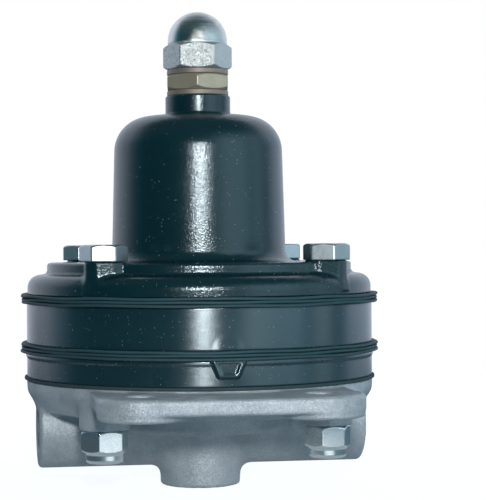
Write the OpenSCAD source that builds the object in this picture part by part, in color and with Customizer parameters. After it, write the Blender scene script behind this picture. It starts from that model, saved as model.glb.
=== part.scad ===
// Fuel pressure regulator: a sprung bonnet over two tied diaphragms, on a cast base with three ports.
// Millimetres. The origin is the middle of the bottom port's mouth and +Z runs up the adjuster's axis.
// X runs along the port bar, and the mounting foot is on the -Y side.

/* [Rings and diaphragms] */
// Outer diameter of the painted rings
ring_d = 86.8; // [86.4:0.2:90]
// Diameter of the opening through the rings
opening_d = 60; // [56:1:62]
// Height of the lower ring
lower_ring_h = 6.2; // [5.6:0.2:8]
// Height of the middle ring
middle_ring_h = 10; // [8:0.5:14]
// Height of the proud band round the top of the lower ring
lip_h = 1.2; // [0.8:0.1:1.8]
// How far that band stands out
lip_out = 0.25; // [0.1:0.05:0.4]
// Thickness of one diaphragm ply
ply_t = 0.7; // [0.5:0.1:1]
// How far the plies stick out past the rings
ply_out = 1.6; // [0.8:0.1:2]
// Thickness of the gasket on the base
gasket_t = 0.7; // [0.4:0.1:1]
// How far that gasket sticks out past the rings
gasket_out = 0.7; // [0.2:0.1:1]
// Width of the index lug on the front of the rings
lug_w = 8; // [6:0.5:10]
// How far the index lug stands out
lug_out = 1; // [0.6:0.1:1.4]

/* [Bolts and self-locking nuts] */
// How far the bolts' centres lie inside the rings' edge
bolt_inset = 5.5; // [5.4:0.1:6]
// Diameter of the bolt's shank
bolt_d = 5.9; // [5.4:0.1:6]
// Diameter of the clearance holes for the bolts
bolt_hole_d = 6.6; // [6.4:0.1:7]
// Width across the flats of the bolt heads and nuts
bolt_af = 10; // [9:0.5:11]
// Height of a bolt head
head_h = 4; // [3:0.2:5]
// Height of a nut's hexagon
nut_hex_h = 5.3; // [4:0.1:6]
// Height of the round collar that holds the nylon ring
nut_collar_h = 2.5; // [2:0.1:3]
// Turn of each bolt head in degrees: left rear, left front, right rear and right front
head_turns = [12, -5, 20, -5]; // [-30:1:30]
// Turn of each nut in degrees, in the same order
nut_turns = [25, 11, 40, 4]; // [0:1:60]

/* [Bonnet] */
// How far the bonnet's rim lies inside the rings' edge
bonnet_inset = 0.2; // [0:0.1:0.6]
// How far the raised plateau's edge lies inside the bonnet's rim
plateau_inset = 4.9; // [4.2:0.1:5.6]
// Height of the plateau above the bonnet's joint face
plateau_h = 7.9; // [7:0.1:9]
// Diameter of the dome at the plateau
dome_d = 43.8; // [42:0.1:46]
// Draft of the dome's wall in degrees
dome_draft = 1.4; // [0:0.1:2]
// Height of the dome's shoulder above the plateau, where its wall starts to curve in
dome_h = 27.8; // [26:0.2:34]
// Radius of the dome's shoulder
shoulder_r = 8.8; // [7:0.2:10]
// Diameter of the neck
neck_d = 16.4; // [15.6:0.2:18]
// Height of the neck's top above the dome's shoulder
neck_h = 14; // [13.4:0.1:16]
// Thickness of the dome's wall
dome_wall = 3.7; // [3:0.1:4]
// Thickness of the dome's roof
roof_t = 5.1; // [4.6:0.1:5.6]
// Half the width of the lug under each bolt head
lug_half = 4.6; // [4.2:0.1:5]
// Height of the bolt heads' seats above the plateau
lug_rise = 0.4; // [0.2:0.1:1]
// Diameter of the tapped hole for the signal hose, at the rear
signal_d = 5; // [4:0.1:6]
// Height of the signal hole above the plateau
signal_h = 14; // [11:0.5:18]

/* [Base casting] */
// Height of the base, from the bottom port's mouth to its joint face
base_h = 27; // [26:0.5:30]
// How far the base's rim lies inside the rings' edge
base_inset = 0; // [0:0.1:0.5]
// Height of the straight part of the rim
rim_h = 2.3; // [2:0.1:4]
// Depth of the chamber below the joint face
chamber_h = 4.5; // [3.5:0.1:5]
// Diameter of the port bar
bar_d = 20; // [18:0.5:21]
// Length of the port bar
bar_l = 81.8; // [80:0.2:90]
// Height of the port bar's axis
bar_z = 15; // [14.6:0.1:15.4]
// Diameter of the boss round the bottom port
boss_d = 20.4; // [19.8:0.2:21.4]
// Diameter of the plain bore of each port
port_d = 11.8; // [11:0.1:12.4]
// Depth of the side ports
port_depth = 13; // [10:0.5:14]
// Height of the nuts' seats
nut_seat_z = 17; // [15:0.5:18]
// Diameter of the bosses that the nuts seat on
nut_boss_d = 12; // [11.6:0.2:13]

/* [Mounting foot] */
// Distance from the axis to the foot's front edge
foot_y = 57.5; // [57:0.5:62]
// Spacing of the two mounting holes
foot_pitch = 41; // [38:1:44]
// Diameter of the mounting holes
foot_hole_d = 6.4; // [5.4:0.1:7]
// Radius of the foot's corners, round the holes
foot_corner_r = 10; // [9:0.5:11]
// Drop of the foot's top face below the joint face
foot_drop = 0.7; // [0.4:0.1:1.5]
// Thickness of the foot at its pads
foot_pad_t = 5.2; // [4.6:0.1:6]
// Thickness of the web between the pads
foot_web_t = 3.8; // [3:0.1:4.4]

/* [Adjuster, lock nut and cap nut] */
// Diameter of the adjuster's thread
adjuster_d = 10; // [9:0.2:10.4]
// Width across the flats of the lock nut and the cap nut
cap_af = 15.2; // [14.6:0.1:16]
// Thickness of each copper washer
washer_t = 1.3; // [1:0.1:1.6]
// Diameter of the copper washers
washer_d = 15.5; // [15:0.1:16]
// Thickness of the lock nut
lock_h = 4; // [3:0.1:5]
// Height of the cap nut's hexagon
cap_hex_h = 6.4; // [5:0.1:8]
// Diameter of the cap nut's dome
cap_dome_d = 15; // [14:0.1:15.2]
// How far the adjuster stands above the cap nut's seat
adjuster_stand = 7; // [5:0.2:8]
// Turn of the lock nut in degrees
lock_turn = 21; // [0:1:60]
// Turn of the cap nut in degrees
cap_turn = -9; // [-30:1:30]

/* [Spring and valve] */
// Wire diameter of the pressure spring
wire_d = 2.6; // [2:0.1:3]
// Outer diameter of the pressure spring
spring_d = 26; // [24:0.5:27]
// Number of coils
coils = 7; // [5:0.5:8]
// Diameter of the plates that clamp the diaphragms
plate_d = 44; // [40:1:46]
// Thickness of those plates
plate_t = 1.5; // [1:0.1:2]
// Diameter of the stud that clamps the plates
stud_d = 6; // [5:0.1:6.5]
// Diameter of the stem that carries the valve
stem_d = 3.2; // [2.6:0.1:3.4]
// Distance that the valve opens
valve_lift = 0.95; // [0.5:0.05:1.2]

/* [Fits] */
// Radial clearance of plain turned fits and threads
fit_gap = 0.05; // [0.02:0.01:0.08]
// Radial clearance of loose parts on a shaft
loose_gap = 0.3; // [0.2:0.05:0.5]
// Clearance left at a stop
stop_gap = 0.05; // [0.02:0.01:0.2]

/* [Hidden] */
$fn = 96;
over = 1;
sharp = 0.01;
ring_r = ring_d / 2;
opening_r = opening_d / 2;
stack_t = 3 * ply_t;
ply_r = ring_r + ply_out;

// Heights of the joint faces, from the base up
gasket_z = base_h;
lower_ring_z = gasket_z + gasket_t;
lower_stack_z = lower_ring_z + lower_ring_h;
middle_ring_z = lower_stack_z + stack_t;
upper_stack_z = middle_ring_z + middle_ring_h;
bonnet_z = upper_stack_z + stack_t;
plateau_z = bonnet_z + plateau_h;
head_z = plateau_z + lug_rise;
dome_z = plateau_z + dome_h;
neck_z = dome_z + neck_h;
lock_z = neck_z + washer_t;
cap_washer_z = lock_z + lock_h;
cap_z = cap_washer_z + washer_t;
cap_dome_r = cap_dome_d / 2;
cap_collar_h = 0.8;
cap_straight_h = cap_hex_h + cap_collar_h;
adjuster_top_z = cap_z + adjuster_stand;

// Bonnet: outside and cavity
bonnet_r = ring_r - bonnet_inset;
plateau_r = bonnet_r - plateau_inset;
dome_r = dome_d / 2;
dome_top_r = dome_r - dome_h * tan(dome_draft);
neck_r = neck_d / 2;
crown_r = dome_top_r - shoulder_r;
crown_z = dome_z + shoulder_r;
crown_slope = 5;
crown_h = 0.4;
rim_edge_r = 3.2;
rim_edge_h = 1.7;
rim_edge_z = bonnet_z + rim_edge_h;
rim_slope_z = rim_edge_z + rim_edge_r;
rim_slope_h = 1;
plateau_edge_r = 0.8;
dome_fillet_r = 3;
neck_fillet_r = 1;
neck_base_z = crown_z + crown_h;
neck_sink = 0.2;
cavity_r = dome_top_r - dome_wall;
cavity_edge_r = 4;
ceiling_z = crown_z - roof_t;
recess_z = bonnet_z + 3.4;
recess_lip = 4;
recess_slope_h = 3;
signal_z = plateau_z + signal_h;
signal_pad_wall = 2.7;
signal_pad_r = signal_d / 2 + signal_pad_wall;
signal_pad_h = 2.2;
signal_pad_y = dome_r + signal_pad_h;

// Base: outside, chamber and passages
base_r = ring_r - base_inset;
hub_wall = 2;
hub_r = plate_d / 2 + hub_wall;
hub_z = 14.4;
hub_edge_r = 1.4;
hub_fillet_r = 2;
rim_undercut = 2.3;
rim_undercut_h = 4.3;
rim_corner = 0.7;
rim_foot_z = base_h - rim_h - rim_undercut_h;
rim_foot_r = base_r - rim_undercut;
rim_under_z = rim_foot_z - rim_corner;
bar_edge_r = 1.2;
boss_top_z = 12.4;
boss_top_r = 3;
boss_mouth_r = 0.6;
boss_draft = 0.3;
boss_draft_h = 8;
chamber_r = hub_r;
chamber_z = base_h - chamber_h;
port_r = port_d / 2;
bottom_port_h = 11;
throat_r = 4.6;
passage_r = 2.8;
passage_inset = 5;
passage_x = plate_d / 2 - passage_inset;
foot_hole_x = foot_pitch / 2;
foot_hole_y = foot_y - foot_corner_r;
foot_half_w = foot_hole_x + foot_corner_r;
foot_z = base_h - foot_drop;

// Moving stack, drawn with the valve open
lower_plate_z = lower_stack_z - plate_t;
cup_z = bonnet_z;
cup_top_z = cup_z + plate_t;
stem_nut_h = 4.5;
stem_nut_af = 10;
stem_nut_top_z = cup_top_z + stem_nut_h;
stud_r = stud_d / 2;
stem_head_r = 5.5;
stem_head_h = 2;
stem_r = stem_d / 2;
spool_wall = 4;
seat_z = 17;
seat_r = 5.5;
seat_hex_af = 13;
seat_hex_h = 2.5;
seat_top_z = chamber_z + seat_hex_h;
seat_gap = 0.8;
seat_hole_r = stem_r + seat_gap;
seal_t = 1;
seal_r = 3.4;
seal_z = seat_z - valve_lift - stop_gap - seal_t;
poppet_h = 3;
poppet_r = 3.6;
poppet_floor = 0.8;
poppet_z = seal_z - poppet_h;
stop_post_r = 2;
stop_post_inset = 4;
stop_post_ring_r = plate_d / 2 - stop_post_inset;

// Spring and adjuster
spring_r = (spring_d - wire_d) / 2;
spring_gap = 0.4;
button_t = 2;
button_gap = 0.2;
button_z = ceiling_z - button_gap - button_t;
button_inset = 3.5;
button_r = cavity_r - button_inset;
spigot_r = spring_r - wire_d / 2 - spring_gap;
spigot_h = 3.3;
nose_r = 3.5;
nose_depth = 1.8;
nose_z = button_z - nose_depth;
spring_l = button_z - cup_top_z;
cup_wall_r = spring_d / 2 + spring_gap;
cup_wall_t = 1.4;
cup_wall_h = 4;
adjuster_r = adjuster_d / 2;
shoulder_gap = 0.1;
shoulder_z = button_z + button_t + shoulder_gap;
slot_w = 1.8;
slot_h = 2.4;
thread_r = adjuster_r + fit_gap;
washer_hole_r = adjuster_r + loose_gap;

// Nuts and bolts
bolt_pitch = (ring_r - bolt_inset) * sqrt(2);
nut_h = nut_hex_h + nut_collar_h;
nut_z = nut_seat_z - nut_h;
collar_step = 0.5;
collar_wall = 0.6;
collar_lip = 0.4;
collar_floor = 0.3;
nut_collar_r = bolt_af / 2 - collar_step;
insert_r = nut_collar_r - collar_wall;
insert_z = nut_z + collar_lip;
insert_h = nut_collar_h - collar_lip - collar_floor;
bolt_r = bolt_d / 2;
bolt_hole_r = bolt_hole_d / 2;
tip_inset = 0.3;
tip_chamfer = 0.6;
bolt_tip_z = nut_z + tip_inset;

// Shared shapes

// Places the children at the four bolts, with $bolt counting them
module at_bolts() {
    for (side = [0, 1], row = [0, 1]) {
        $bolt = side * 2 + (1 - row);
        translate([(side - 0.5) * bolt_pitch, (row - 0.5) * bolt_pitch, 0]) children();
    }
}

// Clearance holes for the four bolts
module bolt_holes(z, h) {
    at_bolts() translate([0, 0, z - over]) cylinder(r = bolt_hole_r, h = h + 2 * over);
}

// Flat ring with a round hole
module washer(outer_r, inner_r, h) {
    difference() {
        cylinder(r = outer_r, h = h);
        translate([0, 0, -over]) cylinder(r = inner_r, h = h + 2 * over);
    }
}

// Half section of a turned piece with rounded outer edges
module turned_section(r, h, low_edge, high_edge) {
    difference() {
        square([r, h]);
        translate([r - low_edge, low_edge]) corner_cut(low_edge, -1);
        translate([r - high_edge, h - high_edge]) corner_cut(high_edge, 1);
    }
}

// What a rounded corner takes away, above or below the corner's centre
module corner_cut(edge, side) {
    difference() {
        translate([0, side > 0 ? 0 : -edge - over]) square([edge + over, edge + over]);
        circle(r = edge);
    }
}

// Hexagon prism whose corners are turned away at the ends that have a chamfer
module hex_prism(af, h, low_chamfer, high_chamfer) {
    corner_r = af / sqrt(3);
    face_r = af / 2 - 0.2;
    drop = (corner_r - face_r) * tan(30);
    low = low_chamfer ? drop : 0;
    high = high_chamfer ? drop : 0;
    intersection() {
        cylinder(r = corner_r, h = h, $fn = 6);
        rotate_extrude() polygon([
            [0, 0], [low_chamfer ? face_r : corner_r, 0], [corner_r, low],
            [corner_r, h - high], [high_chamfer ? face_r : corner_r, h], [0, h]
        ]);
    }
}

// Diaphragm ply: a sheet clamped at its rim, with the stud through its middle
module ply(z, r, shade) {
    color(shade) translate([0, 0, z]) difference() {
        washer(r, stud_r + fit_gap, ply_t);
        bolt_holes(0, ply_t);
    }
}

// Base casting

// Half section of the round rim, undercut below its straight edge, and of the hub under it
module rim_section() {
    polygon([
        [0, rim_under_z], [rim_foot_r - rim_corner, rim_under_z], [rim_foot_r, rim_foot_z],
        [base_r, base_h - rim_h], [base_r, base_h], [0, base_h]
    ]);
    translate([0, hub_z]) turned_section(hub_r, base_h - hub_z - over, hub_edge_r, sharp);
    mirror([0, 1]) fillet(hub_r, -rim_under_z, hub_fillet_r);
}

// Outline of the foot, from its rounded front corners back into the rim
module foot_outline() {
    for (side = [-1, 1]) translate([side * foot_hole_x, -foot_hole_y]) circle(r = foot_corner_r);
    translate([-foot_half_w, -foot_hole_y]) square([2 * foot_half_w, foot_hole_y - ring_r * 0.6]);
    translate([-foot_hole_x, -foot_y]) square([2 * foot_hole_x, foot_corner_r]);
}

// Foot: a web with a thicker pad round each hole
module foot() {
    translate([0, 0, foot_z - foot_web_t]) linear_extrude(foot_web_t) foot_outline();
    for (side = [-1, 1])
        translate([side * foot_hole_x, -foot_hole_y, foot_z - foot_pad_t])
            cylinder(r = foot_corner_r, h = foot_pad_t);
}

// Bottom boss, a little wider where it meets the bar, with a rounded top
module bottom_boss() {
    rotate_extrude() difference() {
        turned_section(boss_d / 2 + boss_draft, boss_top_z, boss_mouth_r, boss_top_r);
        polygon([
            [boss_d / 2 - boss_draft, -over], [boss_d, -over], [boss_d, boss_draft_h],
            [boss_d / 2 + boss_draft, boss_draft_h], [boss_d / 2 - boss_draft, 0]
        ]);
    }
}

// Port bar across the base
module port_bar() {
    translate([-bar_l / 2, 0, bar_z]) rotate([0, 90, 0])
        rotate_extrude() turned_section(bar_d / 2, bar_l, bar_edge_r, bar_edge_r);
}

// Valve bore, side ports and the passages up into the chamber
module base_passages() {
    translate([0, 0, -over]) cylinder(r = port_r, h = bottom_port_h + over);
    translate([0, 0, bottom_port_h - over]) cylinder(r = throat_r, h = seat_z - bottom_port_h + 2 * over);
    translate([0, 0, seat_z]) cylinder(r = seat_r + fit_gap, h = chamber_z - seat_z + over);
    for (side = [-1, 1]) {
        translate([side * (bar_l / 2 - port_depth), 0, bar_z]) rotate([0, side * 90, 0])
            cylinder(r = port_r, h = port_depth + over);
        translate([side * (passage_x - passage_r), 0, bar_z]) rotate([0, side * 90, 0])
            cylinder(r = passage_r, h = bar_l / 2 - port_depth - passage_x + passage_r + over);
        translate([side * passage_x, 0, bar_z]) cylinder(r = passage_r, h = chamber_z - bar_z + over);
    }
}

module base_body() color("gainsboro") {
    difference() {
        union() {
            rotate_extrude() rim_section();
            port_bar();
            bottom_boss();
            foot();
            at_bolts() translate([0, 0, nut_seat_z])
                cylinder(d = nut_boss_d, h = base_h - rim_h - nut_seat_z);
        }
        translate([0, 0, chamber_z]) cylinder(r = chamber_r, h = base_h - chamber_z + over);
        base_passages();
        bolt_holes(nut_seat_z, base_h - nut_seat_z);
        for (side = [-1, 1])
            translate([side * foot_hole_x, -foot_hole_y, foot_z - foot_pad_t - over])
                cylinder(d = foot_hole_d, h = foot_pad_t + 2 * over);
    }
    for (turn = [45 : 90 : 315])
        rotate(turn) translate([stop_post_ring_r, 0, chamber_z - over])
            cylinder(r = stop_post_r, h = lower_plate_z - chamber_z + over);
}

// Seat that the poppet closes, screwed into the chamber's floor
module valve_seat() color("goldenrod") {
    difference() {
        union() {
            translate([0, 0, seat_z]) cylinder(r = seat_r, h = chamber_z - seat_z);
            translate([0, 0, chamber_z]) hex_prism(seat_hex_af, seat_hex_h, false, true);
        }
        translate([0, 0, seat_z - over]) cylinder(r = seat_hole_r, h = seat_top_z - seat_z + 2 * over);
    }
}

// Gasket, rings and plies

module base_gasket() color("dimgray") {
    translate([0, 0, gasket_z]) difference() {
        washer(ring_r + gasket_out, opening_r, gasket_t);
        bolt_holes(0, gasket_t);
    }
}

// Index lug on the lower ring: a tapered pad, narrower at its foot
module lower_lug() {
    top = lower_stack_z;
    foot_w = lug_w * 0.58;
    lug_h = min(lug_w * 0.525, lower_ring_h - lip_h);
    translate([0, -ring_r - lug_out, top - lug_h]) rotate([-90, 0, 0]) mirror([0, 1, 0])
        linear_extrude(lug_out * 4) polygon([
            [-foot_w / 2, 0], [foot_w / 2, 0], [lug_w / 2, lug_h], [-lug_w / 2, lug_h]
        ]);
}

// Index lug on the middle ring: a round-topped bump standing on the diaphragm
module middle_lug() {
    bump_r = lug_w * 0.375;
    translate([0, -ring_r - lug_out * 0.8, middle_ring_z]) intersection() {
        translate([0, 0, bump_r * 0.13]) rotate([-90, 0, 0]) cylinder(r = bump_r, h = lug_out * 4);
        translate([-bump_r, -over, 0]) cube([2 * bump_r, lug_out * 4 + 2 * over, bump_r + over]);
    }
}

module lower_ring() color([0.06, 0.08, 0.08]) {
    difference() {
        union() {
            translate([0, 0, lower_ring_z]) cylinder(r = ring_r, h = lower_ring_h);
            translate([0, 0, lower_stack_z - lip_h]) cylinder(r = ring_r + lip_out, h = lip_h);
            lower_lug();
        }
        translate([0, 0, lower_ring_z - over]) cylinder(r = opening_r, h = lower_ring_h + 2 * over);
        bolt_holes(lower_ring_z, lower_ring_h);
    }
}

module middle_ring() color([0.06, 0.08, 0.08]) {
    difference() {
        union() {
            translate([0, 0, middle_ring_z]) cylinder(r = ring_r, h = middle_ring_h);
            middle_lug();
        }
        translate([0, 0, middle_ring_z - over]) cylinder(r = opening_r, h = middle_ring_h + 2 * over);
        bolt_holes(middle_ring_z, middle_ring_h);
    }
}

module lower_diaphragm_bottom_ply() ply(lower_stack_z, ply_r, [0.16, 0.16, 0.16]);
module lower_diaphragm_middle_ply() ply(lower_stack_z + ply_t, ply_r - 0.2, [0.2, 0.2, 0.2]);
module lower_diaphragm_top_ply() ply(lower_stack_z + 2 * ply_t, ply_r - 0.05, [0.16, 0.16, 0.16]);
module upper_diaphragm_bottom_ply() ply(upper_stack_z, ply_r - 0.1, [0.16, 0.16, 0.16]);
module upper_diaphragm_middle_ply() ply(upper_stack_z + ply_t, ply_r - 0.2, [0.2, 0.2, 0.2]);
module upper_diaphragm_top_ply() ply(upper_stack_z + 2 * ply_t, ply_r, [0.16, 0.16, 0.16]);

// Bonnet

// Half section of the bonnet's outside
module bonnet_section() {
    difference() {
        union() {
            translate([0, bonnet_z]) square([bonnet_r, rim_edge_z - bonnet_z]);
            translate([bonnet_r - rim_edge_r, rim_edge_z]) circle(r = rim_edge_r);
            polygon([
                [0, bonnet_z], [bonnet_r - rim_edge_r, bonnet_z], [bonnet_r - rim_edge_r, rim_slope_z],
                [plateau_r, rim_slope_z + rim_slope_h], [0, rim_slope_z + rim_slope_h]
            ]);
            translate([0, bonnet_z]) turned_section(plateau_r, plateau_h, sharp, plateau_edge_r);
            polygon([[0, plateau_z], [dome_r, plateau_z], [dome_top_r, dome_z], [0, dome_z]]);
            translate([crown_r, dome_z]) circle(r = shoulder_r);
            polygon([
                [0, dome_z], [crown_r, dome_z],
                [crown_r + shoulder_r * sin(crown_slope), dome_z + shoulder_r * cos(crown_slope)],
                [neck_r, neck_base_z], [0, neck_base_z]
            ]);
            translate([0, dome_z]) turned_section(neck_r, neck_h, sharp, neck_fillet_r * 0.4);
            fillet(dome_r, plateau_z, dome_fillet_r);
            fillet(neck_r, neck_base_z - neck_sink, neck_fillet_r);
        }
        translate([0, bonnet_z - rim_edge_r - over]) square([bonnet_r + over, rim_edge_r + over]);
    }
}

// Hollow fillet between a wall at radius r and a floor at height z
module fillet(r, z, size) {
    translate([r - size / 4, z - size / 4]) difference() {
        square(size * 1.25);
        translate([size * 1.25, size * 1.25]) circle(r = size);
    }
}

// Half section of the bonnet's cavity: a wide recess for the plate, then the spring's chamber
module cavity_section() {
    translate([0, bonnet_z - over]) square([opening_r, recess_z - bonnet_z + over]);
    polygon([
        [0, recess_z - over], [opening_r - recess_lip, recess_z - over],
        [cavity_r, recess_z + recess_slope_h], [0, recess_z + recess_slope_h]
    ]);
    translate([0, recess_z]) turned_section(cavity_r, ceiling_z - recess_z, sharp, cavity_edge_r);
}

// Square lug with rounded corners under a bolt head
module bolt_lug() {
    corner_r = lug_half * 0.5;
    low_z = bonnet_z + over;
    translate([0, 0, low_z]) linear_extrude(head_z - low_z) {
        for (x = [-1, 1], y = [-1, 1]) translate([x, y] * (lug_half - corner_r)) circle(r = corner_r);
        square([2 * lug_half, 2 * (lug_half - corner_r)], center = true);
        square([2 * (lug_half - corner_r), 2 * lug_half], center = true);
    }
}

module bonnet() color([0.05, 0.08, 0.08]) {
    difference() {
        union() {
            rotate_extrude() bonnet_section();
            intersection() {
                at_bolts() bolt_lug();
                cylinder(r = bonnet_r - 0.4, h = head_z + over);
            }
            translate([0, cavity_r + over, signal_z]) rotate([-90, 0, 0])
                cylinder(r = signal_pad_r, h = signal_pad_y - cavity_r - over);
        }
        rotate_extrude() cavity_section();
        translate([0, 0, ceiling_z - over]) cylinder(r = thread_r, h = neck_z - ceiling_z + 2 * over);
        translate([0, 0, signal_z]) rotate([-90, 0, 0]) cylinder(d = signal_d, h = signal_pad_y + over);
        bolt_holes(bonnet_z, head_z - bonnet_z);
    }
}

// Bolts and self-locking nuts

module bolt() {
    translate([0, 0, head_z]) rotate(head_turns[$bolt]) hex_prism(bolt_af, head_h, false, true);
    translate([0, 0, bolt_tip_z + tip_chamfer]) cylinder(r = bolt_r, h = head_z - bolt_tip_z);
    translate([0, 0, bolt_tip_z]) cylinder(r1 = bolt_r - tip_chamfer, r2 = bolt_r, h = tip_chamfer);
}

module flange_bolts() color("lightgray") at_bolts() bolt();

// Nut with a round collar below its hexagon, and a pocket in the collar for the nylon ring
module lock_bolt_nut() {
    difference() {
        union() {
            translate([0, 0, nut_z + nut_collar_h]) rotate(nut_turns[$bolt])
                hex_prism(bolt_af, nut_hex_h, true, true);
            translate([0, 0, nut_z]) rotate_extrude()
                turned_section(nut_collar_r, nut_collar_h + over, collar_wall * 1.5, sharp);
        }
        translate([0, 0, nut_z - over]) cylinder(r = bolt_r + fit_gap, h = nut_h + 2 * over);
        translate([0, 0, insert_z]) cylinder(r = insert_r, h = insert_h);
    }
}

module flange_nuts() color("lightgray") at_bolts() lock_bolt_nut();

module nut_inserts() color("white") at_bolts()
    translate([0, 0, insert_z]) washer(insert_r, bolt_r + fit_gap, insert_h);

// Moving stack

module lower_plate() color("silver")
    translate([0, 0, lower_plate_z]) washer(plate_d / 2, stud_r + fit_gap, plate_t);

// Spool between the two diaphragms
module diaphragm_spacer() color("silver") translate([0, 0, middle_ring_z]) difference() {
    union() {
        cylinder(d = plate_d, h = plate_t);
        cylinder(r = stud_r + spool_wall, h = middle_ring_h);
        translate([0, 0, middle_ring_h - plate_t]) cylinder(d = plate_d, h = plate_t);
    }
    translate([0, 0, -over]) cylinder(r = stud_r + fit_gap, h = middle_ring_h + 2 * over);
}

// Plate over the upper diaphragm, with a wall that keeps the spring central
module spring_cup() color("silver") {
    translate([0, 0, cup_z]) washer(plate_d / 2, stud_r + fit_gap, plate_t);
    translate([0, 0, cup_z]) washer(cup_wall_r + cup_wall_t, cup_wall_r, plate_t + cup_wall_h);
}

// Stud with a head under the lower plate, and the thin stem that reaches down through the seat
module valve_stem() color("lightsteelblue") {
    low_z = poppet_z + poppet_floor;
    translate([0, 0, low_z]) cylinder(r = stem_r, h = lower_plate_z - low_z);
    translate([0, 0, lower_plate_z - stem_head_h]) cylinder(r = stem_head_r, h = stem_head_h);
    translate([0, 0, lower_plate_z - over])
        cylinder(r = stud_r, h = stem_nut_top_z - lower_plate_z + 2 * over);
}

module stem_nut() color("silver") translate([0, 0, cup_top_z]) difference() {
    hex_prism(stem_nut_af, stem_nut_h, true, true);
    translate([0, 0, -over]) cylinder(r = stud_r + fit_gap, h = stem_nut_h + 2 * over);
}

module valve_poppet() color("goldenrod") translate([0, 0, poppet_z]) difference() {
    rotate_extrude() turned_section(poppet_r, poppet_h, poppet_floor, sharp);
    translate([0, 0, poppet_floor]) cylinder(r = stem_r + fit_gap, h = poppet_h);
}

module poppet_seal() color("black") translate([0, 0, seal_z]) washer(seal_r, stem_r + fit_gap, seal_t);

// Spring, button and adjuster

// Height of the wire's centre after so many turns: a closed coil at each end, and even coils between them
function coil_rise(turn, length, wire, turns) =
    let (
        start = wire * 0.35,
        closed = wire * 1.04,
        open = (length - 2 * start - 2 * closed) / (turns - 2)
    )
    start + closed * min(turn, 1) + open * min(max(turn - 1, 0), turns - 2)
        + closed * max(turn - turns + 1, 0);

// Coil spring, with its end coils ground flat
module coil_spring(radius, wire, length, turns) {
    sides = 10;
    per_turn = 20;
    rings = floor(turns * per_turn);
    points = [
        for (ring = [0 : rings], side = [0 : sides - 1])
            let (
                turn = turns * ring / rings,
                around = 360 * side / sides,
                out = radius + wire / 2 * cos(around),
                up = coil_rise(turn, length, wire, turns) + wire / 2 * sin(around)
            )
            [out * cos(360 * turn), out * sin(360 * turn), min(max(up, 0), length)]
    ];
    walls = [
        for (ring = [0 : rings - 1], side = [0 : sides - 1])
            let (next = (side + 1) % sides)
            [ring * sides + side, ring * sides + next, (ring + 1) * sides + next, (ring + 1) * sides + side]
    ];
    first_end = [for (side = [0 : sides - 1]) sides - 1 - side];
    last_end = [for (side = [0 : sides - 1]) rings * sides + side];
    polyhedron(points, concat(walls, [first_end, last_end]));
}

module pressure_spring() color("slategray")
    translate([0, 0, cup_top_z]) coil_spring(spring_r, wire_d, spring_l, coils);

// Upper spring seat, with a spigot inside the spring and a socket for the adjuster's nose
module spring_button() color("silver") difference() {
    union() {
        translate([0, 0, button_z]) rotate_extrude() turned_section(button_r, button_t, 0.3, 0.6);
        translate([0, 0, button_z - spigot_h]) cylinder(r = spigot_r, h = spigot_h + over);
    }
    translate([0, 0, nose_z]) cylinder(r = nose_r + loose_gap, h = ceiling_z - nose_z);
}

// Slotted screw whose nose turns in the button
module adjuster_screw() color("silver") {
    difference() {
        union() {
            translate([0, 0, nose_z]) cylinder(r = nose_r, h = shoulder_z - nose_z + over);
            translate([0, 0, shoulder_z]) rotate_extrude()
                turned_section(adjuster_r, adjuster_top_z - shoulder_z, sharp, 0.7);
        }
        translate([-adjuster_d, -slot_w / 2, adjuster_top_z - slot_h])
            cube([2 * adjuster_d, slot_w, slot_h + over]);
    }
}

module seal_washer(z) {
    color([0.75, 0.5, 0.4]) translate([0, 0, z]) difference() {
        rotate_extrude() turned_section(washer_d / 2, washer_t, 0.25, 0.25);
        translate([0, 0, -over]) cylinder(r = washer_hole_r, h = washer_t + 2 * over);
    }
}

module lock_washer() seal_washer(neck_z);
module cap_washer() seal_washer(cap_washer_z);

module lock_nut() color([0.6, 0.58, 0.45]) translate([0, 0, lock_z]) difference() {
    rotate(lock_turn) hex_prism(cap_af, lock_h, true, true);
    translate([0, 0, -over]) cylinder(r = thread_r, h = lock_h + 2 * over);
}

// Cap nut: a hexagon with a ball-ended crown and a blind bore
module cap_nut() color("lightgray") translate([0, 0, cap_z]) difference() {
    bore_h = adjuster_stand + 2;
    union() {
        rotate(cap_turn) hex_prism(cap_af, cap_hex_h, true, true);
        cylinder(r = cap_dome_r, h = cap_straight_h);
        translate([0, 0, cap_straight_h]) intersection() {
            sphere(r = cap_dome_r);
            cylinder(r = cap_dome_d, h = cap_dome_d);
        }
    }
    translate([0, 0, -over]) cylinder(r = thread_r, h = bore_h + over);
    translate([0, 0, bore_h]) cylinder(r1 = thread_r, r2 = 0.5, h = 1.5);
}

base_body();
valve_seat();
base_gasket();
lower_ring();
lower_diaphragm_bottom_ply();
lower_diaphragm_middle_ply();
lower_diaphragm_top_ply();
middle_ring();
upper_diaphragm_bottom_ply();
upper_diaphragm_middle_ply();
upper_diaphragm_top_ply();
bonnet();
flange_bolts();
flange_nuts();
nut_inserts();
lower_plate();
diaphragm_spacer();
spring_cup();
valve_stem();
stem_nut();
valve_poppet();
poppet_seal();
pressure_spring();
spring_button();
adjuster_screw();
lock_washer();
lock_nut();
cap_washer();
cap_nut();
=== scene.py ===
import itertools
import math

import bmesh
import bpy
import numpy as np
from mathutils import Matrix, Vector


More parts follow.
